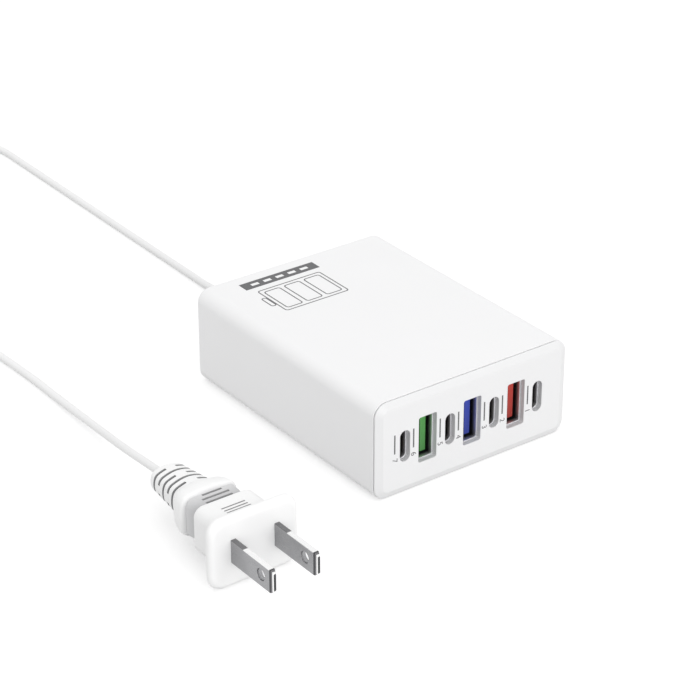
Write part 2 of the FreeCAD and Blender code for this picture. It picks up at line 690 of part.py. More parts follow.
def make_boards():
    """Upright board behind the ports, main board in the rails, strip that joins them."""
    clear = "2 * (case_wall + board_gap)"
    port_board = new_body("port_board")
    upright = section(port_board, "port_board_outline", PORT_BOARD, z=MID_HEIGHT)
    rounded_rectangle(upright, f"case_width - {clear}", f"case_height - {clear}", "cavity_corner")
    pad(port_board, upright, "board_thickness")
    length = f"({BACK_WALL} - board_gap - {BOARD_FRONT})"
    main_board = box(
        "main_board", f"case_width - {clear}", length, "board_thickness",
        y=f"{BOARD_FRONT} + {length} / 2", z="board_level",
    )
    strip = box("board_link", "link_width", "link_depth", "link_height")
    place(strip, "-link_width / 2", BOARD_FRONT, BOARD_TOP)
    return [port_board, main_board, strip]


def make_output_side():
    """Inductors, controllers and smoothing capacitors behind the ports."""
    inductors = []
    for k in range(INDUCTORS):
        middle = f"({k} - {(INDUCTORS - 1) / 2}) * inductor_pitch"
        inductors.append(
            box(f"inductor_{k}", "inductor_size", "inductor_size", "inductor_height", middle)
        )
    chip_x = "(case_width / 2 - case_wall - chip_gap - chip_size / 2)"
    chips = [
        box(f"chip_{side}", "chip_size", "chip_size", "chip_height", f"{sign}{chip_x}")
        for side, sign in (("left", "-"), ("right", ""))
    ]
    cans = []
    for k in range(OUTPUT_CANS):
        middle = f"({k} - {(OUTPUT_CANS - 1) / 2}) * output_pitch"
        cans.append(rod(f"output_can_{k}", "output_can", "output_can_height", middle))
    return [
        on_board(group("port_inductors", *inductors), behind="inductor_place"),
        on_board(group("port_controllers", *chips), behind="inductor_place"),
        on_board(group("output_capacitors", *cans), behind="output_place"),
    ]


def make_heat_sinks():
    """Two upright plates with slots in the top edge, beside the transformer."""
    plates = []
    for side, sign in (("left", "-"), ("right", "")):
        middle = f"{sign}(sink_spread + sink_thickness) / 2"
        plate = box(f"sink_plate_{side}", "sink_thickness", "sink_length", "sink_height", middle)
        slots = []
        for k in range(SINK_SLOTS):
            along = f"({k} - {(SINK_SLOTS - 1) / 2}) * sink_slot_pitch"
            slots.append(box(
                f"sink_slot_{side}_{k}", "2 * sink_thickness", "sink_slot", "sink_slot_depth",
                middle, along, "sink_height - sink_slot_depth",
            ))
        plates.append(cut(f"sink_{side}", plate, group(f"sink_slots_{side}", *slots)))
    return [on_board(group("heat_sinks", *plates), behind="sink_start + sink_length / 2")]


def make_transistors():
    """Two power transistors, their tabs flat against the outer faces of the heat sinks."""
    switches = []
    for side, sign in (("left", "-"), ("right", "")):
        face = "(sink_spread / 2 + sink_thickness)"
        tab = box(
            f"switch_tab_{side}", "switch_tab", "switch_width", "switch_tab_height",
            f"{sign}({face} + switch_tab / 2)", z="switch_leg_length",
        )
        moulding = box(
            f"switch_moulding_{side}", "switch_body", "switch_width", "switch_body_height",
            f"{sign}({face} + switch_body / 2)", z="switch_leg_length",
        )
        legs = [
            box(
                f"switch_leg_{side}_{k}", "switch_leg", "switch_leg", "switch_leg_length",
                f"{sign}({face} + switch_body / 2)", f"({k} - 1) * switch_leg_pitch",
            )
            for k in range(3)
        ]
        hole = rod(
            f"switch_hole_{side}", "switch_hole", "2 * switch_body",
            f"{sign}{face} - switch_body", "0",
            "switch_leg_length + (switch_body_height + switch_tab_height) / 2", "x",
        )
        whole = fuse(f"switch_whole_{side}", tab, moulding, *legs)
        switches.append(cut(f"switch_{side}", whole, hole))
    return [on_board(group("power_transistors", *switches), behind="switch_place")]


def make_transformer():
    """Two-window core, bobbin on its middle leg, winding between the bobbin's flanges."""
    window = "((core_width - core_middle) / 2 - core_leg)"
    window_x = f"(core_middle / 2 + {window} / 2)"
    window_length = "(core_depth - 2 * core_yoke)"
    core_level = "(bobbin_height - core_height) / 2"
    block = box("core_block", "core_width", "core_depth", "core_height", z=core_level)
    windows = [
        box(f"core_window_{side}", window, window_length, "bobbin_height", f"{sign}{window_x}")
        for side, sign in (("left", "-"), ("right", ""))
    ]
    core = cut("transformer_core", block, group("core_windows", *windows))
    bobbin_length = f"({window_length} - 2 * core_gap)"
    hole_wide, hole_tall = "(core_middle + 2 * core_gap)", "(core_height + 2 * core_gap)"
    tube_wide, tube_tall = f"({hole_wide} + 2 * bobbin_wall)", f"({hole_tall} + 2 * bobbin_wall)"
    tube_level = f"(bobbin_height - {tube_tall}) / 2"
    flange_wide = f"(core_middle + 2 * {window} - 2 * core_gap)"
    sleeve = box("bobbin_tube", tube_wide, bobbin_length, tube_tall, z=tube_level)
    flanges = [
        box(
            f"bobbin_flange_{side}", flange_wide, "bobbin_wall", "bobbin_height",
            y=f"{sign}({bobbin_length} - bobbin_wall) / 2",
        )
        for side, sign in (("front", "-"), ("back", ""))
    ]
    hole = box("bobbin_hole", hole_wide, "core_depth", hole_tall, z=f"(bobbin_height - {hole_tall}) / 2")
    bobbin = cut("transformer_bobbin", fuse("bobbin_whole", sleeve, *flanges), hole)
    winding_length = f"({bobbin_length} - 2 * bobbin_wall)"
    coil = box(
        "winding_block", f"{flange_wide} - 2 * winding_fill", winding_length,
        "bobbin_height - 2 * winding_fill", z="winding_fill",
    )
    space = box("winding_space", tube_wide, "core_depth", tube_tall, z=tube_level)
    winding = cut("transformer_winding", coil, space)
    return [on_board(piece, behind="core_place") for piece in (core, bobbin, winding)]


def make_line_side():
    """What the mains meets first: fuse, filters, rectifier and bulk capacitors."""
    bulk_x = "(case_width / 2 - case_wall - bulk_gap - bulk_can / 2)"
    cans = []
    for side, sign in (("left", "-"), ("right", "")):
        cans.append(rod(
            f"bulk_can_{side}", "bulk_can", "bulk_can_length", f"{sign}{bulk_x}",
            z="bulk_can / 2", along="y",
        ))
    bulk = on_board(group("bulk_capacitors", *cans), behind="bulk_start")
    film = new_body("film_capacitor")
    film_face = section(film, "film_outline", "0", z="film_height / 2")
    rectangle(film_face, "film_width", "film_height")
    film_block = pad(film, film_face, "film_depth")
    fillet(film, film_block, edges_along_y(film_block), "film_edge")
    on_board(film, "film_side", "film_place - film_depth / 2")
    bridge = new_body("bridge_rectifier")
    bridge_face = section(bridge, "bridge_outline", "0")
    left, right = "-bridge_width / 2", "bridge_width / 2"
    outline(bridge_face, (
        (left, "0"), (right, "0"), (right, "bridge_height - bridge_notch"),
        (f"{right} - bridge_notch", "bridge_height"), (left, "bridge_height"),
    ))
    pad(bridge, bridge_face, "bridge_depth")
    on_board(bridge, "bridge_side", "bridge_place - bridge_depth / 2")
    fuse_can = on_board(rod("fuse", "fuse_diameter", "fuse_height"), "fuse_side", "fuse_place")
    disc = rod("safety_capacitor", "disc_diameter", "disc_thickness", along="y")
    disc_front = f"{BOARD_FRONT} + disc_place - disc_thickness / 2"
    place(disc, "disc_side", disc_front, f"{BOARD_TOP} + disc_diameter / 2")
    opto = box("optocoupler", "opto_width", "opto_depth", "opto_height")
    on_board(opto, "opto_side - opto_width / 2", "opto_place - opto_depth / 2")
    return [bulk, film, bridge, fuse_can, disc, opto] + make_choke()


def make_choke():
    """Ring core with two windings that face each other."""
    ring = rod("choke_ring", "choke_outer", "choke_height", z="choke_wire")
    eye = rod("choke_eye", "choke_inner", "choke_height", z="choke_wire")
    core = cut("choke_core", ring, eye)
    wound_height = "choke_height + 2 * choke_wire"
    windings = []
    for half, turn in (("right", 0), ("left", 180)):
        wedge = rod(f"choke_wedge_{half}", "choke_outer + 2 * choke_wire", wound_height)
        bind(wedge, "Angle", "choke_arc")
        middle = rod(f"choke_middle_{half}", "choke_inner - 2 * choke_wire", wound_height)
        room = rod(f"choke_room_{half}", "choke_outer", "choke_height", z="choke_wire")
        inner = rod(f"choke_inner_{half}", "choke_inner", "choke_height", z="choke_wire")
        void = fuse(f"choke_void_{half}", middle, cut(f"choke_rest_{half}", room, inner))
        winding = cut(f"choke_winding_{half}", wedge, void)
        winding.Placement = Placement(Vector(), Rotation(Vector(0, 0, 1), turn))
        windings.append(winding)
    both = group("choke_windings", *windings)
    return [on_board(piece, "choke_side", "choke_place") for piece in (core, both)]


# Leads


def rounded_route(points):
    """Path of straight runs joined by tangent arcs, each as large as its runs allow."""
    edges, radii = [], []
    start = points[0]
    for before, corner, after in zip(points, points[1:], points[2:]):
        way_in, way_out = corner - before, after - corner
        reach = ARC_SHARE * min(way_in.Length, way_out.Length)
        half_turn = way_in.getAngle(way_out) / 2
        radii.append(reach / math.tan(half_turn))
        way_in.normalize()
        way_out.normalize()
        inwards = (way_out - way_in).normalize()
        arc_start, arc_end = corner - way_in * reach, corner + way_out * reach
        arc_middle = corner + inwards * (radii[-1] / math.cos(half_turn) - radii[-1])
        edges.append(Part.LineSegment(start, arc_start).toShape())
        edges.append(Part.Arc(arc_start, arc_middle, arc_end).toShape())
        start = arc_end
    edges.append(Part.LineSegment(start, points[-1]).toShape())
    return Part.Wire(edges), radii


def tube(points, diameter):
    """Round lead along the points, with its length and its radii of bend."""
    path, radii = rounded_route(points)
    ring = Part.Circle(points[0], points[1] - points[0], diameter / 2).toShape()
    solid = path.makePipeShell([Part.Wire(ring)], True, True)
    expected = math.pi * diameter ** 2 / 4 * path.Length
    if abs(solid.Volume - expected) > VOLUME_SLACK * expected:
        raise RuntimeError(f"tube volume {solid.Volume:.1f}, not {expected:.1f}")
    return solid, path.Length, radii


def make_wires():
    """Live and neutral, from the bush down to their pads on the main board."""
    back = size("case_depth") / 2 - size("case_wall")
    bush_end = back - size("bush_inside")
    pads = back - size("wire_reach")
    top = size("case_height") / 2
    board = size("board_level") + size("board_thickness")
    wires = []
    for name, sign in (("live_wire", -1), ("neutral_wire", 1)):
        side = sign * size("wire_spread") / 2
        run = (bush_end - pads) / 2
        route = Part.makePolygon((
            Vector(side, bush_end, top),
            Vector(side, bush_end - run, top),
            Vector(side, pads, top - run),
            Vector(side, pads, board),
        ))
        ring = Part.Circle(Vector(side, bush_end, top), Vector(0, 1, 0), size("wire_diameter") / 2)
        wire = route.makePipeShell([Part.Wire(ring.toShape())], True, False, MITRED)
        wires.append(shaped(name, wire))
    return wires


def make_bush():
    """Moulded bush that grips the back wall and keeps the lead from bending sharply."""
    body = new_body("cord_bush")
    profile = sketch_on(body, "bush_profile", "XY_Plane")
    inner_end, outer_end = f"{BACK_WALL} - bush_inside", "case_depth / 2 + bush_length"
    collar_end = "case_depth / 2 + bush_collar"
    outline(profile, (
        ("0", inner_end), ("bush_flange / 2", inner_end),
        ("bush_flange / 2", BACK_WALL), ("bush_neck / 2", BACK_WALL),
        ("bush_neck / 2", "case_depth / 2"), ("bush_flange / 2", "case_depth / 2"),
        ("bush_flange / 2", collar_end), ("bush_root / 2", collar_end),
        ("bush_tip / 2", outer_end), ("0", outer_end),
    ))
    turned = body.newObject("PartDesign::Revolution", "bush_turned")
    turned.Profile = profile
    turned.ReferenceAxis = (origin_part(body, "Y_Axis"), [""])
    turned.Angle = 360
    return [place(body, z=MID_HEIGHT)]


def make_coil():
    """Outer shape of the tied turns, and the band that ties them."""
    body = new_body("cord_coil")
    profile = sketch_on(body, "coil_section", x="coil_mean / 2", y="tie_thickness + coil_height / 2")
    rectangle(profile, "coil_width", "coil_height")
    turned = body.newObject("PartDesign::Revolution", "coil_turned")
    turned.Profile = profile
    turned.ReferenceAxis = (origin_part(body, "Z_Axis"), [""])
    turned.Angle = 360
    place(body, "coil_side", "coil_back")
    band_wide = "(coil_width + 2 * tie_gap + 2 * tie_thickness)"
    band = box(
        "tie_block", band_wide, "tie_width", "coil_height + 2 * tie_thickness", "coil_mean / 2"
    )
    hole = box(
        "tie_hole", "coil_width + 2 * tie_gap", "2 * tie_width", "coil_height", "coil_mean / 2",
        z="tie_thickness",
    )
    tie = cut("cord_tie", band, hole)
    tie.Placement = Placement(Vector(), Rotation(Vector(0, 0, 1), size("tie_angle")))
    place(tie, "coil_side", "coil_back")
    return [body, tie]


def make_leads(coil):
    """The two stretches of lead that aren't coiled; their ends meet the outside of the coil."""
    diameter = size("cord_diameter")
    bush_end = Vector(0, size("case_depth") / 2 + size("bush_length"), size("case_height") / 2)
    plug_end = Vector(
        size("plug_side"), size("plug_face") + size("relief_end"), size("flange_height") / 2
    )
    straight = Vector(0, size("exit_run"), 0)
    way_out = [bush_end, bush_end + straight] + [Vector(*point) for point in LEAD_OUT]
    way_in = [Vector(*point) for point in LEAD_IN] + [plug_end + straight, plug_end]
    routes = (("cord_lead_out", way_out), ("cord_lead_in", way_in))
    leads = []
    for name, points in routes:
        solid, length, radii = tube(points, diameter)
        print(f"{name}: length {length:.1f}, radii {[round(radius) for radius in radii]}")
        leads.append(shaped(name, solid.cut(coil.Shape)))
    return leads


# Plug, in a frame of its own with the middle of its face as the origin


def blend(share, first, last):
    """Outline a share of the way from one ring to another."""
    return tuple(f"{near} + {share} * ({far} - {near})" for near, far in zip(first, last))


def plug_rings():
    """Depth and outline of each ring of the moulding, from the face backwards."""
    rings = []
    for step in range(ROUND_STEPS):
        turn = math.pi / 2 * step / ROUND_STEPS
        less = f"{1 - math.sin(turn):.4f} * flange_edge"
        shape = (f"flange_width - 2 * {less}", f"flange_height - 2 * {less}", f"flange_corner - {less}")
        rings.append((f"{1 - math.cos(turn):.4f} * flange_edge", shape))
    rings.append(("flange_edge", FLANGE))
    for along, change in FLARE_CURVE:
        rings.append((f"flange_thickness + {along} * flare_length", blend(change, FLANGE, BLOCK)))
    rings.append(("block_end", BLOCK))
    rings.append(("block_end + grip_step", WAIST))
    rings.append(("waist_end", WAIST))
    shoulder_start = "(waist_end + shoulder_rise)"
    for along, change in SHOULDER_CURVE:
        depth = f"{shoulder_start} + {along} * (relief_start - {shoulder_start})"
        rings.append((depth, blend(change, SHOULDER, RELIEF)))
    rings.append(("relief_end", TIP))
    return rings


def make_plug_moulding():
    """Flange, flare, block, grip, shoulder and strain relief in one run of rings."""
    body = new_body("plug_moulding")
    rings = []
    for number, (depth, (wide, tall, corner)) in enumerate(plug_rings()):
        ring = section(body, f"plug_ring_{number}", depth)
        rounded_rectangle(ring, wide, tall, corner)
        rings.append(ring)
    run = body.newObject("PartDesign::AdditiveLoft", "plug_run")
    run.Profile = rings[0]
    run.Sections = rings[1:]
    run.Ruled = True
    return body


def make_relief_slots():
    """Slots that cross over: one ring opens left and right, the next above and below."""
    cuts = []
    webs = (
        ("side", 0, "slot_bridge", "2 * relief_height"),
        ("level", 1, "2 * relief_width", "slot_bridge"),
    )
    for kind, first, web_wide, web_tall in webs:
        slabs = [
            box(
                f"relief_{kind}_{k}", "2 * relief_width", "slot_width", "2 * relief_height",
                y=f"relief_start + slot_start + {k} * slot_pitch", z="-relief_height",
            )
            for k in range(first, RELIEF_SLOTS, 2)
        ]
        core = doc.addObject("Part::Cone", f"relief_core_{kind}")
        core.Placement = Placement(Vector(), ALONG["y"])
        bind(core, "Radius1", "relief_height / 2 - slot_depth")
        bind(core, "Radius2", "tip_height / 2 - slot_depth")
        bind(core, "Height", "relief_end - relief_start")
        place(core, y="relief_start")
        web = box(
            f"relief_web_{kind}", web_wide, "relief_end - relief_start", web_tall,
            y="(relief_start + relief_end) / 2", z=f"-({web_tall}) / 2",
        )
        kept = fuse(f"relief_kept_{kind}", core, web)
        cuts.append(cut(f"relief_{kind}_slots", group(f"relief_{kind}_slabs", *slabs), kept))
    return cuts


def make_top_lines():
    """Lines across the top of the flare, cut down to a surface that runs below it."""
    slabs = [
        box(
            f"mark_{k}", "mark_length", "mark_width", "flange_height / 2",
            y=f"mark_place + {k - (TOP_LINES - 1) // 2} * mark_pitch",
        )
        for k in range(TOP_LINES)
    ]
    under = new_body("mark_under")
    profile = sketch_on(under, "mark_profile", "YZ_Plane", out="-mark_length")
    fall = "(flange_height - block_height) / 2"
    floor = [
        (
            f"flange_thickness + {along} * flare_length",
            f"flange_height / 2 - {change} * {fall} - mark_depth",
        )
        for along, change in FLARE_CURVE
    ]
    block_back = ("block_end", "block_height / 2 - mark_depth")
    outline(profile, [("flange_thickness", "0"), *floor, block_back, ("block_end", "0")])
    pad(under, profile, "2 * mark_length", backwards=False)
    return cut("top_lines", group("mark_slabs", *slabs), under)


def make_plug():
    """Moulding with its slots, grip grooves, top lines and blade seats; two blades."""
    seats = [
        box(
            f"blade_seat_{side}", "blade_thickness + 2 * blade_gap", "2 * blade_root",
            "blade_height + 2 * blade_gap", f"{sign}blade_pitch / 2",
            z="blade_rise - blade_height / 2 - blade_gap",
        )
        for side, sign in (("left", "-"), ("right", ""))
    ]
    grooves = []
    for k in range(GRIP_GROOVES):
        step = k - (GRIP_GROOVES - 1) // 2
        for side, level in (("top", "waist_height / 2 - grip_depth"), ("under", "-waist_height / 2")):
            grooves.append(box(
                f"grip_{side}_{k}", "grip_length", "grip_width", "grip_depth",
                y=f"(block_end + waist_end) / 2 + {step} * grip_pitch", z=level,
            ))
    tools = group("plug_cuts", *make_relief_slots(), *seats, *grooves, make_top_lines())
    moulding = cut("plug_body", make_plug_moulding(), tools)
    pieces = [moulding] + make_blades()
    return [place(piece, "plug_side", "plug_face", PLUG_AXIS) for piece in pieces]


def make_blades():
    """Flat blades with cut corners, a bevelled tip and a hole."""
    blades = []
    tip = "-blade_length"
    top, bottom = "(blade_rise + blade_height / 2)", "(blade_rise - blade_height / 2)"
    shoulder = f"{tip} + blade_corner"
    for side, sign in (("left", "-"), ("right", "")):
        middle = f"{sign}blade_pitch / 2"
        near_face = f"{middle} - blade_thickness / 2"
        blade = new_body(f"plug_blade_{side}")
        face = sketch_on(blade, f"blade_outline_{side}", "YZ_Plane", out=near_face)
        outline(face, (
            ("blade_root", bottom), ("blade_root", top), (shoulder, top),
            (tip, f"{top} - blade_corner"), (tip, f"{bottom} + blade_corner"), (shoulder, bottom),
        ))
        pad(blade, face, "blade_thickness", backwards=False)
        cheeks = (("near", "0", "blade_edge"), ("far", "blade_thickness", "-blade_edge"))
        for cheek, offset, inwards in cheeks:
            wedge = sketch_on(
                blade, f"blade_{cheek}_{side}", "XY_Plane", x=f"{near_face} + {offset}", out=bottom
            )
            outline(wedge, (("0", tip), (inwards, tip), ("0", f"{tip} + blade_taper")))
            pocket(blade, wedge, "blade_height").Reversed = True
        hole = sketch_on(
            blade, f"blade_hole_{side}", "YZ_Plane", "-blade_hole_place", "blade_rise", middle
        )
        circle(hole, "blade_hole")
        pocket(blade, hole, "2 * blade_thickness").SideType = "Symmetric"
        blades.append(blade)
    return blades


def check(items):
    """Stop if any object failed or any sub-part is empty or broken."""
    failed = [item.Name for item in doc.Objects if {"Invalid", "Error"} & set(item.State)]
    broken = [item.Label for item in items if item.Shape.isNull() or not item.Shape.isValid()]
    if failed or broken:
        raise RuntimeError(f"failed: {failed}, broken: {broken}")


def main():
    fill_sheet()
    parts = make_housing() + make_front_panel()
    for number in range(1, USB_A_PORTS + 1):
        parts += make_usb_a_port(number)
    for number in range(1, USB_C_PORTS + 1):
        parts += make_usb_c_port(number)
    parts += make_boards() + make_output_side() + make_heat_sinks() + make_transistors()
    parts += make_transformer() + make_line_side() + make_wires() + make_bush()
    coil, tie = make_coil()
    doc.recompute()
    parts += [coil, tie] + make_leads(coil) + make_plug()
    doc.recompute()
    check(parts)
    os.makedirs("parts", exist_ok=True)
    for part in parts:
        part.Shape.exportStep(os.path.join("parts", f"{part.Label}.step"))
    print(f"{len(parts)} sub-parts written")


main()
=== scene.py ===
"""Finishes a seven-port desktop charger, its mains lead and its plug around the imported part."""

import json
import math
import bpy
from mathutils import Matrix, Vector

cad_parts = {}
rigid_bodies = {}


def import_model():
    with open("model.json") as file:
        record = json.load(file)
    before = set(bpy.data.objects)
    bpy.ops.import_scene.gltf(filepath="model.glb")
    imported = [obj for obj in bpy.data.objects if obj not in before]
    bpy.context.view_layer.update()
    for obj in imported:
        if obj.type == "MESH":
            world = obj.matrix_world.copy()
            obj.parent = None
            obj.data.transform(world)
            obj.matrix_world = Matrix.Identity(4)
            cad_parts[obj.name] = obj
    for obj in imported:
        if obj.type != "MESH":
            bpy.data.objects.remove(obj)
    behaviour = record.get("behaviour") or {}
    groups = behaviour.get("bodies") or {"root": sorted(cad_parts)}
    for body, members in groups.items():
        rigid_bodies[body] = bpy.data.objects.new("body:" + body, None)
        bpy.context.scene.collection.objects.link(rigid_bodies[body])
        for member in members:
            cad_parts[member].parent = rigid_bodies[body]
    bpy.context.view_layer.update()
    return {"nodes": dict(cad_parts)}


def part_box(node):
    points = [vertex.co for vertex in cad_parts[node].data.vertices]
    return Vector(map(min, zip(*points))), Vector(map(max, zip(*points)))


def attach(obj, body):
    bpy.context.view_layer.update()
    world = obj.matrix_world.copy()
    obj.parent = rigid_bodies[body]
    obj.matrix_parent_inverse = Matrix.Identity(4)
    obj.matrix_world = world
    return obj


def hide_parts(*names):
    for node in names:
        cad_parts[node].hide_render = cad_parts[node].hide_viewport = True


bl_info = {
    "name": "Seven-port charger",
    "version": (1, 0, 0),
    "blender": (4, 5, 0),
    "location": "View3D > Sidebar > Charger",
    "description": "Models the case, ports, lead and plug of a desktop charger and sets its stage",
    "category": "Object",
}

from contextlib import contextmanager

import bmesh
import bpy
from bpy.props import FloatProperty, FloatVectorProperty, PointerProperty
from mathutils import Vector

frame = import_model()

BODY = "root"
MM = 0.001
NEAR = 0.005 * MM
# Points closer than this are one: in a new piece, and in a copy of a CAD node.
DOUBLES = 0.001 * MM
CAD_DOUBLES = 0.002 * MM
# Share of a direction that counts as along the depth, and as across it.
ALONG = 0.99
ACROSS = 0.1
# Share of the largest face's area that counts as just as large.
SAME_AREA = 0.999
# Faces of a CAD node that meet at less than the first angle are merged, and its edges above the
# second are rounded, in degrees.
FLAT_ANGLE = 0.5
EDGE_ANGLE = 40.0
# Segments of a rounding: the case's corners, inner corners, edges that show, broken and fine edges.
CORNER_STEPS = 12
INNER_STEPS = 8
EDGE_STEPS = 5
BREAK_STEPS = 3
FINE_STEPS = 2
FLANGE_STEPS = 6
ROUND_SIDES = 48
LARGE_PORTS = 3
SMALL_PORTS = 4
RELIEF_SLOTS = 5
GRIP_GROOVES = 3
TOP_LINES = 3
# Least and greatest roughness of the mouldings.
MATT = (0.4, 0.5)
SATIN = (0.32, 0.42)
GLOSSY = (0.3, 0.4)
WHITE = (1.0, 1.0, 1.0, 1.0)

# The lead's route, in millimetres: from the case to the coil, and from the coil to the plug.
ROUTE_OUT = (
    (0.0, 44.0, 14.0), (0.0, 58.5, 14.0), (0.3, 65.0, 11.6), (0.7, 71.5, 6.6), (1.1, 78.0, 2.2),
    (1.6, 86.0, 1.1), (1.7, 94.0, 1.1), (2.8, 201.0, 1.1), (2.9, 213.0, 1.1), (-0.2, 225.0, 1.1),
    (-7.8, 234.6, 1.1), (-20.0, 239.5, 1.3), (-50.0, 240.0, 1.7),
)
ROUTE_IN = (
    (-76.3, 213.0, 5.6), (-76.3, 201.0, 3.2), (-75.8, 186.0, 1.1), (-75.0, 171.0, 1.1),
    (-72.6, 126.0, 1.1), (-69.1, 75.0, 1.1), (-69.4, 50.0, 1.2), (-70.8, 29.5, 3.0),
    (-72.8, 17.6, 5.4), (-74.5, 7.0, 7.6), (-75.3, -3.5, 9.2), (-75.3, -18.0, 9.75),
)
COIL_MIDDLE = (-58.0, 222.0)
# Radius and height of the coil's seven turns, in the order in which they are wound.
COIL_TURNS = (
    (18.3, 1.7), (16.1, 1.7), (13.9, 1.7), (13.9, 3.9), (16.1, 3.9), (18.3, 3.9), (18.3, 6.1),
)
# Where the first turn starts and how far the last one goes on, in degrees.
COIL_START = 90.0
COIL_LAST = 90.0
POINTS_PER_TURN = 16
# Share of a turn in which it moves to the next one's place.
COIL_MOVE = 1 / 6


def length(name, description, millimetres):
    """Property for a length that is written in millimetres."""
    return FloatProperty(
        name=name, description=description, default=millimetres * MM, unit="LENGTH", precision=5
    )


def colour(name, description, red, green, blue):
    """Property for a colour, in linear values."""
    return FloatVectorProperty(
        name=name, description=description, default=(red, green, blue), subtype="COLOR",
        min=0.0, max=1.0,
    )


class CaseSizes(bpy.types.PropertyGroup):
    """Sizes of the case, its front panel and the ports."""

    corner: length("Corner", "Radius of the case's four long edges", 3.8)
    rear_edge: length("Rear edge", "Radius round the case's back", 1.2)
    wall: length("Wall", "Thickness of the case", 2.2)
    seam_edge: length("Seam edge", "Rounding of the case at the panel", 0.1)
    seam_width: length("Seam width", "Groove between the case and the panel", 0.36)
    seam_depth: length("Seam depth", "Depth of that groove", 1.2)
    cord_hole: length("Cord hole", "Diameter of the hole in the back", 6.5)
    panel_corner: length("Panel corner", "Radius of the panel's corners", 3.7)
    panel_plate: length("Panel plate", "Thickness of the panel", 2.4)
    panel_side: length("Panel side", "Straight part of the panel's edge", 0.2)
    panel_back: length("Panel back", "Rounding of the panel's edge at the case", 0.12)
    border: length("Border", "Width of the panel's rounded border", 2.2)
    border_fall: length("Border fall", "Depth of the panel's rounded border", 1.0)
    skirt_inset: length("Skirt inset", "Frame behind the panel, from its edge", 2.25)
    skirt_wall: length("Skirt wall", "Thickness of that frame", 1.2)
    port_gap: length("Port gap", "Space round a port's shell", 0.03)
    large_corner: length("Large corner", "Corner of a large port's opening", 0.53)
    opening_edge: length("Opening edge", "Rounding of the openings' rims", 0.14)
    steel_edge: length("Steel edge", "Rounding of the sheet metal", 0.07)
    tongue_edge: length("Tongue edge", "Rounding of the tongues", 0.12)


class PrintSizes(bpy.types.PropertyGroup):
    """Sizes of the printed marks."""

    ink: length("Ink", "Height of the ink above the surface", 0.02)
    numeral: length("Numeral", "Size of the ports' numbers", 2.3)
    numeral_drop: length("Numeral drop", "Numbers below the ports' middle", 3.2)
    stroke: length("Stroke", "Width of the line beside a number", 0.42)
    stroke_low: length("Stroke low", "Lower end of the line, below the ports' middle", 1.3)
    stroke_high: length("Stroke high", "Upper end of the line, above the ports' middle", 4.2)
    beside: length("Beside", "Marks from a port's side", 1.75)
    outline: length("Outline", "Width of the top mark's lines", 0.34)
    band_wide: length("Band width", "Dark band on the top", 24.6)
    band_deep: length("Band depth", "Dark band on the top", 3.9)
    band_side: length("Band side", "Middle of the top marks, left of the case's middle", 8.3)
    band_back: length("Band back", "Band's middle, in front of the case's back", 6.65)
    cell_wide: length("Cell width", "Cell of the battery mark", 5.4)
    cell_deep: length("Cell depth", "Cell of the battery mark", 11.6)
    cell_pitch: length("Cell pitch", "Between the cells of the battery mark", 6.6)
    frame_wide: length("Frame width", "Frame of the battery mark", 21.0)
    frame_deep: length("Frame depth", "Frame of the battery mark", 14.2)
    frame_back: length("Frame back", "Mark's middle, in front of the case's back", 17.9)
    knob_wide: length("Knob width", "Knob at the end of the battery mark", 1.7)
    knob_deep: length("Knob depth", "Knob at the end of the battery mark", 5.6)
    mark_corner: length("Mark corner", "Corners of the top marks", 0.9)


class LeadSizes(bpy.types.PropertyGroup):
    """Sizes of the mains lead and its bush."""

    diameter: length("Diameter", "Thickness of the lead", 2.2)
    total: length("Length", "Real length of the lead", 1200.0)
    flange: length("Flange", "Radius of the bush's flanges", 4.5)
    flange_thickness: length("Flange thickness", "Bush's flange outside the wall", 2.0)
    neck: length("Neck", "Radius of the bush in the wall", 3.2)
    root: length("Root", "Radius of the bush's sleeve at its thick end", 3.5)
    tip: length("Tip", "Radius of the bush's sleeve at its thin end", 1.8)
    rib_start: length("Rib start", "First groove of the sleeve, from the wall", 3.1)
    rib_pitch: length("Rib pitch", "Between the sleeve's grooves", 2.2)
    rib_width: length("Rib width", "Width of the sleeve's grooves", 1.0)
    rib_depth: length("Rib depth", "Depth of the sleeve's grooves", 0.4)
    bush_edge: length("Bush edge", "Rounding of the bush", 0.4)
    tie_edge: length("Tie edge", "Rounding of the tie", 0.15)


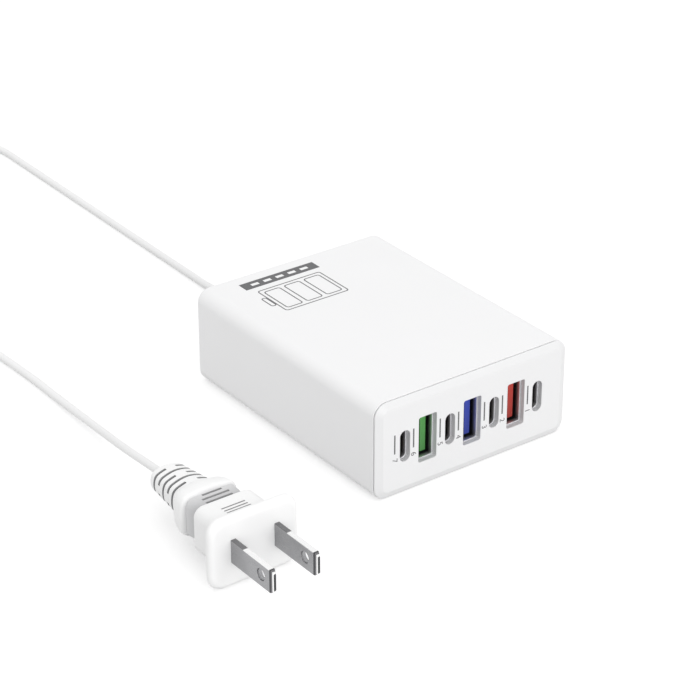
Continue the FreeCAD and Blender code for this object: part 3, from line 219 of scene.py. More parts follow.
class PlugSizes(bpy.types.PropertyGroup):
    """Sizes of the plug; places along it are measured from its face."""

    flange_edge: length("Flange edge", "Rounding of the flange's front", 1.6)
    flange_corner: length("Flange corner", "Corner of the flange", 5.0)
    flange_back: length("Flange back", "Back of the flange", 3.2)
    flare_end: length("Flare end", "Where the flare meets the block", 8.6)
    block_wide: length("Block width", "Block behind the flare", 17.6)
    block_tall: length("Block height", "Block behind the flare", 12.8)
    block_back: length("Block back", "Back of the block", 14.1)
    block_edge: length("Block edge", "Rounding of the block's back", 1.0)
    grip_step: length("Grip step", "From the block's back to the finger grip", 0.4)
    waist_wide: length("Waist width", "Finger grip at its thin end", 14.2)
    waist_tall: length("Waist height", "Finger grip at its thin end", 10.5)
    waist_rise: length("Waist rise", "Growth of the finger grip towards the shoulder", 0.6)
    waist_end: length("Waist end", "Back of the finger grip", 19.6)
    shoulder_wide: length("Shoulder width", "Shoulder behind the finger grip", 17.0)
    shoulder_tall: length("Shoulder height", "Shoulder behind the finger grip", 12.9)
    relief_start: length("Relief start", "Front of the strain relief", 26.3)
    relief_end: length("Relief end", "Back of the strain relief", 39.8)
    relief_wide: length("Relief width", "Strain relief at its front", 12.2)
    relief_tall: length("Relief height", "Strain relief at its front", 9.4)
    tip_wide: length("Tip width", "Strain relief at its back", 9.6)
    tip_tall: length("Tip height", "Strain relief at its back", 6.8)
    tip_edge: length("Tip edge", "Rounding of the strain relief's back", 0.5)
    cord_seat: length("Cord seat", "Hole for the lead", 2.5)
    cord_seat_depth: length("Cord seat depth", "Depth of that hole", 1.5)
    slot_first: length("First slot", "Middle of the strain relief's first slot", 27.8)
    slot_pitch: length("Slot pitch", "Between the strain relief's slots", 2.4)
    slot_width: length("Slot width", "Width of the strain relief's slots", 0.9)
    slot_depth: length("Slot depth", "Depth of the strain relief's slots", 1.6)
    slot_bridge: length("Slot bridge", "Plastic left between two slots of a ring", 2.6)
    groove_first: length("First groove", "Middle of the finger grip's first groove", 15.3)
    groove_pitch: length("Groove pitch", "Between the finger grip's grooves", 1.7)
    groove_width: length("Groove width", "Width of the finger grip's grooves", 0.7)
    groove_depth: length("Groove depth", "Depth of the finger grip's grooves", 0.5)
    line_first: length("First line", "Middle of the first line on the top", 6.85)
    line_pitch: length("Line pitch", "Between the lines on the top", 1.23)
    line_width: length("Line width", "Width of the lines on the top", 0.45)
    line_depth: length("Line depth", "Depth of the lines on the top", 0.3)
    groove_length: length("Groove length", "Length of the grooves and lines", 6.8)
    blade_edge: length("Blade edge", "Rounding of the blades", 0.14)


class Finishes(bpy.types.PropertyGroup):
    """Colours of the pieces that show."""

    case_white: colour("Case", "Moulded case", 0.90, 0.90, 0.905)
    panel_white: colour("Panel", "Front panel", 0.83, 0.83, 0.835)
    # Painted shade: a darker copy of the panel's white for the shade on its sloping border.
    border_white: colour("Border", "Sloping border of the panel", 0.80, 0.80, 0.805)
    cord_white: colour("Lead", "Sheath of the lead", 0.90, 0.90, 0.90)
    plug_white: colour("Plug", "Moulded plug", 0.95, 0.95, 0.95)
    # Painted shade: the slots, grooves and lines are coloured darker where shade falls in them.
    plug_shade: colour("Plug slots", "Slots, grooves and lines of the plug", 0.46, 0.46, 0.465)
    # Painted shade: grey laid over the finger grip's recess, darkest at the block.
    grip_shade: colour("Grip", "Finger grip at the block", 0.50, 0.50, 0.51)
    print_grey: colour("Print", "Printed marks", 0.11, 0.11, 0.115)
    # Painted shade: the walls of the panel's openings are grey where shade falls in them.
    opening_grey: colour("Openings", "Walls of the panel's openings", 0.63, 0.63, 0.64)
    steel: colour("Steel", "Port shells at the mouth", 0.93, 0.93, 0.95)
    # Painted shade: the port shells' colour further in from the mouth, darker where shade falls
    # inside them.
    steel_inside: colour("Steel inside", "Port shells further in", 0.10, 0.10, 0.11)
    blade: colour("Blades", "Plated blades", 0.34, 0.34, 0.35)
    # Painted light on the blades: a highlight along the top edges and in a band at the tip, dark
    # reflections on the top edges near the plug's face and in bands at the tip.
    blade_edge: colour("Blade edges", "Rubbed edges of the blades", 0.92, 0.92, 0.92)
    blade_root: colour("Blade roots", "Top edges near the plug's face", 0.20, 0.20, 0.205)
    blade_dark: colour("Blade marks", "Dark bands at the tips and roots", 0.07, 0.07, 0.075)
    contact: colour("Contacts", "Plated contacts", 0.80, 0.60, 0.24)
    red: colour("Red", "First large port", 0.55, 0.045, 0.03)
    blue: colour("Blue", "Second large port", 0.03, 0.06, 0.46)
    green: colour("Green", "Third large port", 0.09, 0.37, 0.08)
    dark: colour("Dark", "Tongues of the small ports", 0.11, 0.11, 0.115)


class StageSettings(bpy.types.PropertyGroup):
    """Camera and light."""

    lens: FloatProperty(name="Lens", description="Focal length in millimetres", default=126.56)
    sky: FloatProperty(name="Sky", description="Strength of the surrounding light", default=0.84)
    overhead: FloatProperty(
        name="Overhead", description="Power of the lamp above", default=2.8, unit="POWER"
    )
    front: FloatProperty(
        name="Front", description="Power of the lamp in front", default=9.5, unit="POWER"
    )
    floor_lift: FloatProperty(
        name="Floor lift", description="Glow that brings the floor to white", default=0.48
    )
    floor: colour("Floor", "Paper that the charger stands on", 0.62, 0.62, 0.62)


# Selecting and shaping, as by hand in edit mode


def deselect():
    """Leave no object selected."""
    bpy.ops.object.select_all(action="DESELECT")


def activate(piece):
    """Make a piece the only one selected."""
    deselect()
    piece.select_set(True)
    bpy.context.view_layer.objects.active = piece


@contextmanager
def editing(piece):
    """Edit mode on one piece, with nothing selected in it."""
    activate(piece)
    bpy.ops.object.mode_set(mode="EDIT")
    bpy.ops.mesh.select_mode(type="FACE")
    bpy.ops.mesh.select_all(action="DESELECT")
    yield
    bpy.ops.object.mode_set(mode="OBJECT")


def pick(piece, kind, test):
    """Select the faces or edges that pass a test, and nothing else."""
    bpy.ops.mesh.select_mode(type=kind)
    bpy.ops.mesh.select_all(action="DESELECT")
    mesh = bmesh.from_edit_mesh(piece.data)
    mesh.normal_update()
    found = [item for item in (mesh.faces if kind == "FACE" else mesh.edges) if test(item)]
    if not found:
        raise RuntimeError(f"nothing to select on {piece.name}")
    for item in found:
        item.select_set(True)
    bmesh.update_edit_mesh(piece.data)


def pick_all():
    """Select the whole mesh."""
    bpy.ops.mesh.select_all(action="SELECT")


def pick_long_edges(piece):
    """Select the edges that run front to back."""

    def runs_back(edge):
        run = edge.verts[1].co - edge.verts[0].co
        return abs(run.y) > ALONG * run.length

    pick(piece, "EDGE", runs_back)


def pick_edges_at(piece, depth):
    """Select the edges that lie in an upright plane across the piece."""
    pick(piece, "EDGE", lambda edge: all(abs(v.co.y - depth) < NEAR for v in edge.verts))


def pick_widest(piece, facing):
    """Select the largest face that looks to the front (-1) or the back (1)."""
    mesh = bmesh.from_edit_mesh(piece.data)
    mesh.normal_update()
    area = max(face.calc_area() for face in mesh.faces if face.normal.y * facing > ALONG)
    pick(
        piece, "FACE",
        lambda face: face.normal.y * facing > ALONG and face.calc_area() > SAME_AREA * area,
    )


def round_off(offset, segments, affect="EDGES"):
    """Bevel what is selected into a rounding."""
    bpy.ops.mesh.bevel(
        offset=offset, segments=segments, profile=0.5, affect=affect, clamp_overlap=False
    )


def push(y=0.0, z=0.0):
    """Extrude what is selected."""
    bpy.ops.mesh.extrude_region_move(TRANSFORM_OT_translate={"value": (0.0, y, z)})


def grow(piece, depth, wide, tall):
    """Extrude the selected end face to a depth and give it a new width and height."""
    mesh = bmesh.from_edit_mesh(piece.data)
    points = [v.co for v in mesh.verts if v.select]
    low = Vector(min(p[i] for p in points) for i in range(3))
    high = Vector(max(p[i] for p in points) for i in range(3))
    push(y=depth - high.y)
    middle = (low + high) / 2
    bpy.ops.transform.resize(
        value=(wide / (high.x - low.x), 1.0, tall / (high.z - low.z)),
        center_override=(middle.x, depth, middle.z),
    )


def settle(name):
    """Put the new piece's place into its mesh and name it."""
    bpy.ops.object.transform_apply(location=True, rotation=True, scale=True)
    bpy.context.object.name = name
    return bpy.context.object


def block(name, low, high):
    """Cube between two corners."""
    deselect()
    bpy.ops.mesh.primitive_cube_add(size=1.0, location=(Vector(low) + Vector(high)) / 2)
    bpy.ops.transform.resize(value=Vector(high) - Vector(low))
    return settle(name)


def plate(name, middle, size, turn=0.0):
    """Flat rectangle that looks up, or to the front after a quarter turn."""
    deselect()
    bpy.ops.mesh.primitive_plane_add(size=1.0, location=middle, rotation=(turn, 0.0, 0.0))
    bpy.ops.transform.resize(value=size)
    return settle(name)


def disc(name, middle, radius):
    """Upright disc that looks to the front."""
    deselect()
    bpy.ops.mesh.primitive_circle_add(
        vertices=ROUND_SIDES, radius=radius, fill_type="NGON", location=middle,
        rotation=(math.pi / 2, 0.0, 0.0),
    )
    return settle(name)


def apply_all(piece):
    """Apply every modifier of a piece."""
    activate(piece)
    for modifier in list(piece.modifiers):
        bpy.ops.object.modifier_apply(modifier=modifier.name)


def cut_away(piece, cutter):
    """Take one shape out of another."""
    cut = piece.modifiers.new("cut", "BOOLEAN")
    cut.operation = "DIFFERENCE"
    cut.solver = "EXACT"
    cut.object = cutter
    apply_all(piece)
    bpy.data.objects.remove(cutter)


def join(pieces, name):
    """Join several pieces into one."""
    activate(pieces[0])
    for piece in pieces:
        piece.select_set(True)
    bpy.ops.object.join()
    pieces[0].name = name
    return pieces[0]


def outward(piece):
    """Merge doubles and turn all faces outwards."""
    with editing(piece):
        pick_all()
        bpy.ops.mesh.remove_doubles(threshold=DOUBLES)
        bpy.ops.mesh.normals_make_consistent(inside=False)


def smooth(piece, degrees=35.0):
    """Smooth shading that keeps sharp edges and flat faces."""
    activate(piece)
    bpy.ops.object.shade_smooth_by_angle(angle=math.radians(degrees))
    flat = piece.modifiers.new("flat_faces", "WEIGHTED_NORMAL")
    flat.keep_sharp = True
    apply_all(piece)


def introduce(name, data):
    """New object in the scene."""
    thing = bpy.data.objects.new(name, data)
    bpy.context.scene.collection.objects.link(thing)
    return thing


def softened(node, name, edge, segments):
    """Copy of a CAD node with merged faces and rounded edges."""
    piece = introduce(name, frame["nodes"][node].data.copy())
    with editing(piece):
        pick_all()
        bpy.ops.mesh.remove_doubles(threshold=CAD_DOUBLES)
        bpy.ops.mesh.dissolve_limited(angle_limit=math.radians(FLAT_ANGLE))
    rounding = piece.modifiers.new("rounding", "BEVEL")
    rounding.width = edge
    rounding.segments = segments
    rounding.limit_method = "ANGLE"
    rounding.angle_limit = math.radians(EDGE_ANGLE)
    apply_all(piece)
    smooth(piece)
    return piece


def coat(piece, material):
    """Give a piece one material and no other."""
    piece.data.materials.clear()
    piece.data.materials.append(material)


def paint(piece, index):
    """Give the selected faces one of the piece's materials."""
    piece.active_material_index = index
    bpy.ops.object.material_slot_assign()


def dress(piece, material, stands_for=()):
    """Give a finished piece its material and its body, and hide the nodes that it stands for."""
    if material.name not in piece.data.materials:
        coat(piece, material)
    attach(piece, BODY)
    if stands_for:
        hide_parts(*stands_for)


def stand_in(node, name, edge, material, segments=FINE_STEPS):
    """Put a softened and dressed copy in a CAD node's place."""
    dress(softened(node, name, edge, segments), material, [node])


def port_boxes():
    """Kind and two corners of each port's shell."""
    for kind, count in (("a", LARGE_PORTS), ("c", SMALL_PORTS)):
        for number in range(1, count + 1):
            yield kind, *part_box(f"usb_{kind}_shell_{number}")


# Finishes

# Shared effects: detail of the fine noise, and its stretch along each axis.
EFFECTS = {"moulded grain": (3.0, (1.0, 1.0, 1.0)), "drawn metal": (2.0, (1.0, 0.04, 1.0))}
BROAD_DETAIL = 2.0
BUMP_DEPTH = 0.02 * MM
# Where the painted shade inside a port's shell starts, and where it is darkest, behind its mouth.
STEEL_BRIGHT = 0.25 * MM
STEEL_DARK = 1.6 * MM


def wire(tree, node, *ordered, **named):
    """Feed a node's inputs, in order or by name: a socket is linked, a value is set."""
    pairs = [*zip(node.inputs, ordered)]
    pairs += [(node.inputs[label.replace("_", " ")], given) for label, given in named.items()]
    for socket, given in pairs:
        if isinstance(given, bpy.types.NodeSocket):
            tree.links.new(given, socket)
        else:
            socket.default_value = given
    return node


def add(tree, kind, *ordered, setting=None, **named):
    """New shader node with one setting and its inputs."""
    node = tree.nodes.new(f"ShaderNode{kind}")
    if setting:
        setattr(node, *setting)
    return wire(tree, node, *ordered, **named)


def mix(tree, factor, first, second):
    """Colour between two others."""
    made = add(tree, "Mix", setting=("data_type", "RGBA"), Factor=factor, A=first, B=second)
    return made.outputs["Result"]


def maths(tree, operation, first, second):
    """Value worked out from two others."""
    return add(tree, "Math", first, second, setting=("operation", operation)).outputs[0]


def shared_effect(name):
    """Shader node group with a fine noise for relief and a broad one for tone, built once."""
    if name in bpy.data.node_groups:
        return bpy.data.node_groups[name]
    detail, stretch = EFFECTS[name]
    group = bpy.data.node_groups.new(name, "ShaderNodeTree")
    for way, labels in (("INPUT", ("Fine Scale", "Broad Scale")), ("OUTPUT", ("Height", "Tone"))):
        for label in labels:
            group.interface.new_socket(label, in_out=way, socket_type="NodeSocketFloat")
    scales = group.nodes.new("NodeGroupInput").outputs
    place = add(group, "TexCoord").outputs["Object"]
    stretched = add(group, "Mapping", Vector=place, Scale=stretch).outputs["Vector"]
    fine = add(group, "TexNoise", Vector=stretched, Scale=scales["Fine Scale"], Detail=detail)
    broad = add(group, "TexNoise", Vector=place, Scale=scales["Broad Scale"], Detail=BROAD_DETAIL)
    end = group.nodes.new("NodeGroupOutput")
    wire(group, end, Height=fine.outputs["Fac"], Tone=broad.outputs["Fac"])
    return group


def finish(name, tint, effect, fine, broad, roughness, bump, spread, metallic=0.0):
    """Material whose colour, roughness and relief follow one of the shared effects."""
    if name in bpy.data.materials:
        return bpy.data.materials[name]
    material = bpy.data.materials.new(name)
    material.use_nodes = True
    tree = material.node_tree
    surface = add(
        tree, "Group", setting=("node_tree", shared_effect(effect)), Fine_Scale=fine,
        Broad_Scale=broad,
    )
    height = surface.outputs["Height"]
    darker = (*(value * (1.0 - spread) for value in tint), 1.0)
    lighter = (*(min(1.0, value * (1.0 + spread)) for value in tint), 1.0)
    gloss = add(tree, "MapRange", Value=height, To_Min=roughness[0], To_Max=roughness[1])
    relief = add(tree, "Bump", Height=height, Strength=bump, Distance=BUMP_DEPTH)
    wire(
        tree, tree.nodes["Principled BSDF"], Metallic=metallic,
        Base_Color=mix(tree, surface.outputs["Tone"], darker, lighter),
        Roughness=gloss.outputs["Result"], Normal=relief.outputs["Normal"],
    )
    return material


def ramp_mask(material, axis, start, end):
    """Mask that goes from 0 to 1 between two places along an axis of the piece."""
    tree = material.node_tree
    split = add(tree, "SeparateXYZ", Vector=add(tree, "TexCoord").outputs["Object"])
    ramp = add(tree, "MapRange", Value=split.outputs[axis], From_Min=start, From_Max=end)
    return ramp.outputs["Result"]


def tint_by(material, mask, tint):
    """Lay another colour over a material's own where a mask says so."""
    tree = material.node_tree
    shader = tree.nodes["Principled BSDF"]
    own = shader.inputs["Base Color"].links[0].from_socket
    wire(tree, shader, Base_Color=mix(tree, mask, own, (*tint, 1.0)))


def both(material, first, second):
    """Mask where two masks are 1."""
    return maths(material.node_tree, "MULTIPLY", first, second)


def plastic(name, tint, roughness=(0.34, 0.46), bump=0.25, grain=5000.0, spread=0.01):
    """Moulded plastic with a spark-eroded grain and faint flow clouds."""
    return finish(
        name, tint, "moulded grain", fine=grain, broad=60.0, roughness=roughness, bump=bump,
        spread=spread,
    )


def metal(name, tint, roughness=(0.2, 0.34)):
    """Bare or plated sheet metal with drawing lines along its depth and faint stains."""
    return finish(
        name, tint, "drawn metal", fine=9000.0, broad=300.0, roughness=roughness, bump=0.2,
        spread=0.05, metallic=1.0,
    )


def port_steel(tints):
    """Sheet steel of the ports: bright at the mouth, with painted shade darkening it further in."""
    if "port steel" in bpy.data.materials:
        return bpy.data.materials["port steel"]
    steel = metal("port steel", tints.steel, (0.42, 0.55))
    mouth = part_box("usb_a_shell_1")[0].y
    # Painted shade: the steel darkens with depth behind the mouth.
    inwards = ramp_mask(steel, "Y", mouth + STEEL_BRIGHT, mouth + STEEL_DARK)
    tint_by(steel, inwards, tints.steel_inside)
    return steel


def contact_plating(tints):
    """Plating of all the ports' contacts."""
    return metal("contact plating", tints.contact, (0.18, 0.3))


# Pieces


class CHARGER_OT_case(bpy.types.Operator):
    """Model the case: rounded box, open at the front and hollow, with a hole for the lead"""

    bl_idname = "charger.case"
    bl_label = "Case"

    def execute(self, context):
        sizes = context.scene.charger_case
        low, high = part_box("housing")
        rim = low.y + sizes.seam_width
        case = block("case", (low.x, rim, low.z), high)
        with editing(case):
            pick_long_edges(case)
            round_off(sizes.corner, CORNER_STEPS)
            pick_edges_at(case, high.y)
            round_off(sizes.rear_edge, EDGE_STEPS)
            pick_edges_at(case, rim)
            round_off(sizes.seam_edge, BREAK_STEPS)
            pick_widest(case, -1)
            bpy.ops.mesh.inset(thickness=sizes.seam_depth - sizes.seam_edge)
            push(y=-sizes.seam_width)
            bpy.ops.mesh.inset(thickness=sizes.wall - sizes.seam_depth)
            push(y=high.y - low.y - sizes.wall)
        reach = 2 * sizes.wall
        middle = Vector((0.0, high.y - reach, (low.z + high.z) / 2))
        hole = disc("hole", middle, sizes.cord_hole / 2)
        with editing(hole):
            pick_all()
            push(y=2 * reach)
        outward(hole)
        cut_away(case, hole)
        smooth(case)
        tint = context.scene.charger_finish.case_white
        dress(case, plastic("case white", tint), ["housing"])
        return {"FINISHED"}


class CHARGER_OT_front_panel(bpy.types.Operator):
    """Model the front panel: rounded border, frame behind it and seven openings"""

    bl_idname = "charger.front_panel"
    bl_label = "Front panel"

    # Sloping border with rounded ends: shares of its width and of its depth, from the edge inwards.
    border_profile = (
        (0.015, 0.08), (0.05, 0.15), (0.11, 0.22), (0.86, 0.94), (0.93, 0.98), (1.0, 1.0),
    )
    # The border's faces look to the front by at least this share, but not fully.
    border_facing = 0.5
    # Just under half of a small port's width, so that its corners make round ends and don't meet.
    round_end = 0.4999

    def execute(self, context):
        sizes, tints = context.scene.charger_case, context.scene.charger_finish
        low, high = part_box("front_panel")
        panel = self.bordered_plate(sizes, low, high)
        cut_away(panel, self.openings(sizes))

        def at_rim(edge):
            flat = all(abs(v.co.y - low.y) < NEAR for v in edge.verts)
            return flat and any(abs(face.normal.y) < ACROSS for face in edge.link_faces)

        with editing(panel):
            pick(panel, "EDGE", at_rim)
            round_off(sizes.opening_edge, FINE_STEPS)
        smooth(panel)
        white = plastic("panel white", tints.panel_white, GLOSSY)
        dress(panel, white, ["front_panel"])
        # Painted shade: darker colours for the openings' walls and the sloping border.
        panel.data.materials.append(plastic("opening grey", tints.opening_grey, MATT))
        panel.data.materials.append(plastic("border white", tints.border_white, GLOSSY))
        self.paint_faces(panel, sizes, low, high)
        return {"FINISHED"}

    def bordered_plate(self, sizes, low, high):
        """Plate with its sloping border in front and its frame behind."""
        side = low.y + sizes.border_fall
        back = side + sizes.panel_side
        panel = block("panel", (low.x, side, low.z), (high.x, back, high.z))
        with editing(panel):
            pick_long_edges(panel)
            round_off(sizes.panel_corner, CORNER_STEPS)
            pick_edges_at(panel, back)
            round_off(sizes.panel_back, BREAK_STEPS)
            pick_widest(panel, -1)
            across, fall = 0.0, 0.0
            for next_across, next_fall in self.border_profile:
                bpy.ops.mesh.inset(thickness=(next_across - across) * sizes.border)
                bpy.ops.transform.translate(
                    value=(0.0, (fall - next_fall) * sizes.border_fall, 0.0)
                )
                across, fall = next_across, next_fall
            pick_widest(panel, 1)
            bpy.ops.mesh.inset(thickness=sizes.skirt_inset - sizes.panel_back)
            push(y=high.y - back)
            bpy.ops.mesh.inset(thickness=sizes.skirt_wall)
            push(y=low.y + sizes.panel_plate - high.y)
        return panel

    def openings(self, sizes):
        """Cutter with the seven ports' outlines."""
        cutters = []
        gap = Vector((sizes.port_gap, 0.0, sizes.port_gap))
        reach = Vector((0.0, 4 * sizes.panel_plate, 0.0))
        for kind, low, high in port_boxes():
            high.y = low.y
            cutter = block("opening", low - gap - reach, high + gap + reach)
            rounding = sizes.large_corner
            if kind == "c":
                rounding = self.round_end * (high.x - low.x + 2 * sizes.port_gap)
            with editing(cutter):
                pick_long_edges(cutter)
                round_off(rounding, INNER_STEPS)
            cutters.append(cutter)
        return join(cutters, "openings")

    def paint_faces(self, panel, sizes, low, high):
        """Give the openings' walls and the border their own materials, darker colours that paint in
        the shade there.
        """
        reach = sizes.skirt_inset + sizes.skirt_wall

        def away_from_edge(face):
            centre = face.calc_center_median()
            across = low.x + reach < centre.x < high.x - reach
            return across and low.z + reach < centre.z < high.z - reach

        def in_opening(face):
            in_plate = face.calc_center_median().y < low.y + sizes.panel_plate
            return in_plate and abs(face.normal.y) < ACROSS and away_from_edge(face)

        def on_border(face):
            return self.border_facing < -face.normal.y < ALONG and not away_from_edge(face)

        with editing(panel):
            for index, test in ((1, in_opening), (2, on_border)):
                pick(panel, "FACE", test)
                paint(panel, index)


class CHARGER_OT_large_ports(bpy.types.Operator):
    """Finish the three large ports: shell, coloured tongue and contacts"""

    bl_idname = "charger.large_ports"
    bl_label = "Large ports"

    # Share of a tongue's colour that is left at its lower end, where painted shade darkens it.
    tongue_fade = 0.6

    def execute(self, context):
        sizes, tints = context.scene.charger_case, context.scene.charger_finish
        for number, tint in enumerate(("red", "blue", "green"), 1):
            bright = getattr(tints, tint)
            moulding = plastic(f"tongue {tint}", bright, (0.3, 0.42), spread=0.04)
            low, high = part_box(f"usb_a_tongue_{number}")
            # Painted shade: the tongue darkens towards its lower end.
            tongue_shade_mask = ramp_mask(moulding, "Z", high.z, low.z)
            tint_by(moulding, tongue_shade_mask, [self.tongue_fade * value for value in bright])
            for part, edge, material, slot in (
                ("shell", sizes.steel_edge, port_steel(tints), "port_steel"),
                ("tongue", sizes.tongue_edge, moulding, f"tongue_{tint}"),
                ("contacts", sizes.steel_edge, contact_plating(tints), "contact_metal"),
            ):
                stand_in(f"usb_a_{part}_{number}", f"large_{part}_{number}", edge, material)
        return {"FINISHED"}


class CHARGER_OT_small_ports(bpy.types.Operator):
    """Finish the four small ports: shell, dark tongue and contacts"""

    bl_idname = "charger.small_ports"
    bl_label = "Small ports"

    def execute(self, context):
        edge, tints = context.scene.charger_case.steel_edge, context.scene.charger_finish
        dark = plastic("tongue dark", tints.dark, (0.36, 0.5), spread=0.1)
        for number in range(1, SMALL_PORTS + 1):
            for part, material, slot in (
                ("shell", port_steel(tints), "port_steel"), ("tongue", dark, "tongue_dark")
            ):
                stand_in(f"usb_c_{part}_{number}", f"small_{part}_{number}", edge, material)
            coat(frame["nodes"][f"usb_c_contacts_{number}"], contact_plating(tints))
        return {"FINISHED"}


class CHARGER_OT_prints(bpy.types.Operator):
    """Lay the printed marks on the panel and on the case's top"""

    bl_idname = "charger.prints"
    bl_label = "Prints"

    cells = 3
    gaps_in_band = 5
    # Half a gap in the band: share of the gaps' pitch and of the band's depth.
    gap_wide = 0.3
    gap_deep = 0.16
    # Largest corner of a mark, as a share of its width.
    largest_corner = 0.4

    def execute(self, context):
        sizes = context.scene.charger_print
        ink = plastic("print ink", context.scene.charger_finish.print_grey, MATT)
        dress(self.port_marks(sizes), ink)
        dress(self.top_marks(sizes), ink)
        return {"FINISHED"}

    def port_marks(self, sizes):
        """A line and a number beside each port."""
        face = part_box("front_panel")[0].y
        ports = [(low.x, (low.z + high.z) / 2) for kind, low, high in port_boxes()]
        marks = []
        for number, (side, level) in enumerate(sorted(ports, reverse=True), 1):
            middle = side - sizes.beside
            marks.append(self.numeral(number, (middle, face, level - sizes.numeral_drop), sizes))
            marks.append(block(
                "line", (middle - sizes.stroke / 2, face - sizes.ink, level - sizes.stroke_low),
                (middle + sizes.stroke / 2, face + sizes.ink, level + sizes.stroke_high),
            ))
        return join(marks, "port_marks")

    def numeral(self, number, place, sizes):
        """A port's number, turned to read down the panel."""
        deselect()
        bpy.ops.object.text_add(location=place, rotation=(math.pi / 2, math.pi / 2, 0.0))
        text = bpy.context.object.data
        text.body = str(number)
        text.size = sizes.numeral
        text.align_x = "CENTER"
        text.align_y = "CENTER"
        text.extrude = sizes.ink
        bpy.ops.object.convert(target="MESH")
        return settle("numeral")

    def spread(self, count, pitch):
        """Steps to either side of a row's middle."""
        return [Vector(((n - (count - 1) / 2) * pitch, 0.0, 0.0)) for n in range(count)]

    def top_marks(self, sizes):
        """A battery in outline and a dark band with gaps, near the back of the top."""
        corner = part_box("housing")[1]
        middle = Vector((-sizes.band_side, corner.y - sizes.frame_back, corner.z))
        marks = [self.label("frame", middle, sizes.frame_wide, sizes.frame_deep, sizes)]
        for aside in self.spread(self.cells, sizes.cell_pitch):
            marks.append(
                self.label("cell", middle + aside, sizes.cell_wide, sizes.cell_deep, sizes)
            )
        end = Vector(((sizes.frame_wide + sizes.knob_wide) / 2, 0.0, 0.0))
        marks.append(self.label("knob", middle - end, sizes.knob_wide, sizes.knob_deep, sizes))
        centre = Vector((-sizes.band_side, corner.y - sizes.band_back, corner.z))
        half = Vector((sizes.band_wide / 2, sizes.band_deep / 2, sizes.ink))
        band = block("band", centre - half, centre + half)
        pitch = sizes.band_wide / (self.gaps_in_band + 1)
        half = Vector((self.gap_wide * pitch, self.gap_deep * sizes.band_deep, 2 * sizes.ink))
        gaps = [
            block("gap", centre + aside - half, centre + aside + half)
            for aside in self.spread(self.gaps_in_band, pitch)
        ]
        cut_away(band, join(gaps, "gaps"))
        return join([*marks, band], "top_marks")

    def label(self, name, middle, wide, deep, sizes):
        """Outline of a rounded rectangle, as thick as the ink."""
        mark = plate(name, middle, (wide, deep, 1.0))
        with editing(mark):
            pick_all()
            round_off(min(sizes.mark_corner, self.largest_corner * wide), EDGE_STEPS, "VERTICES")
            pick_all()
            bpy.ops.mesh.inset(thickness=sizes.outline)
            bpy.ops.mesh.delete(type="FACE")
            pick_all()
            push(z=sizes.ink)
        outward(mark)
        return mark


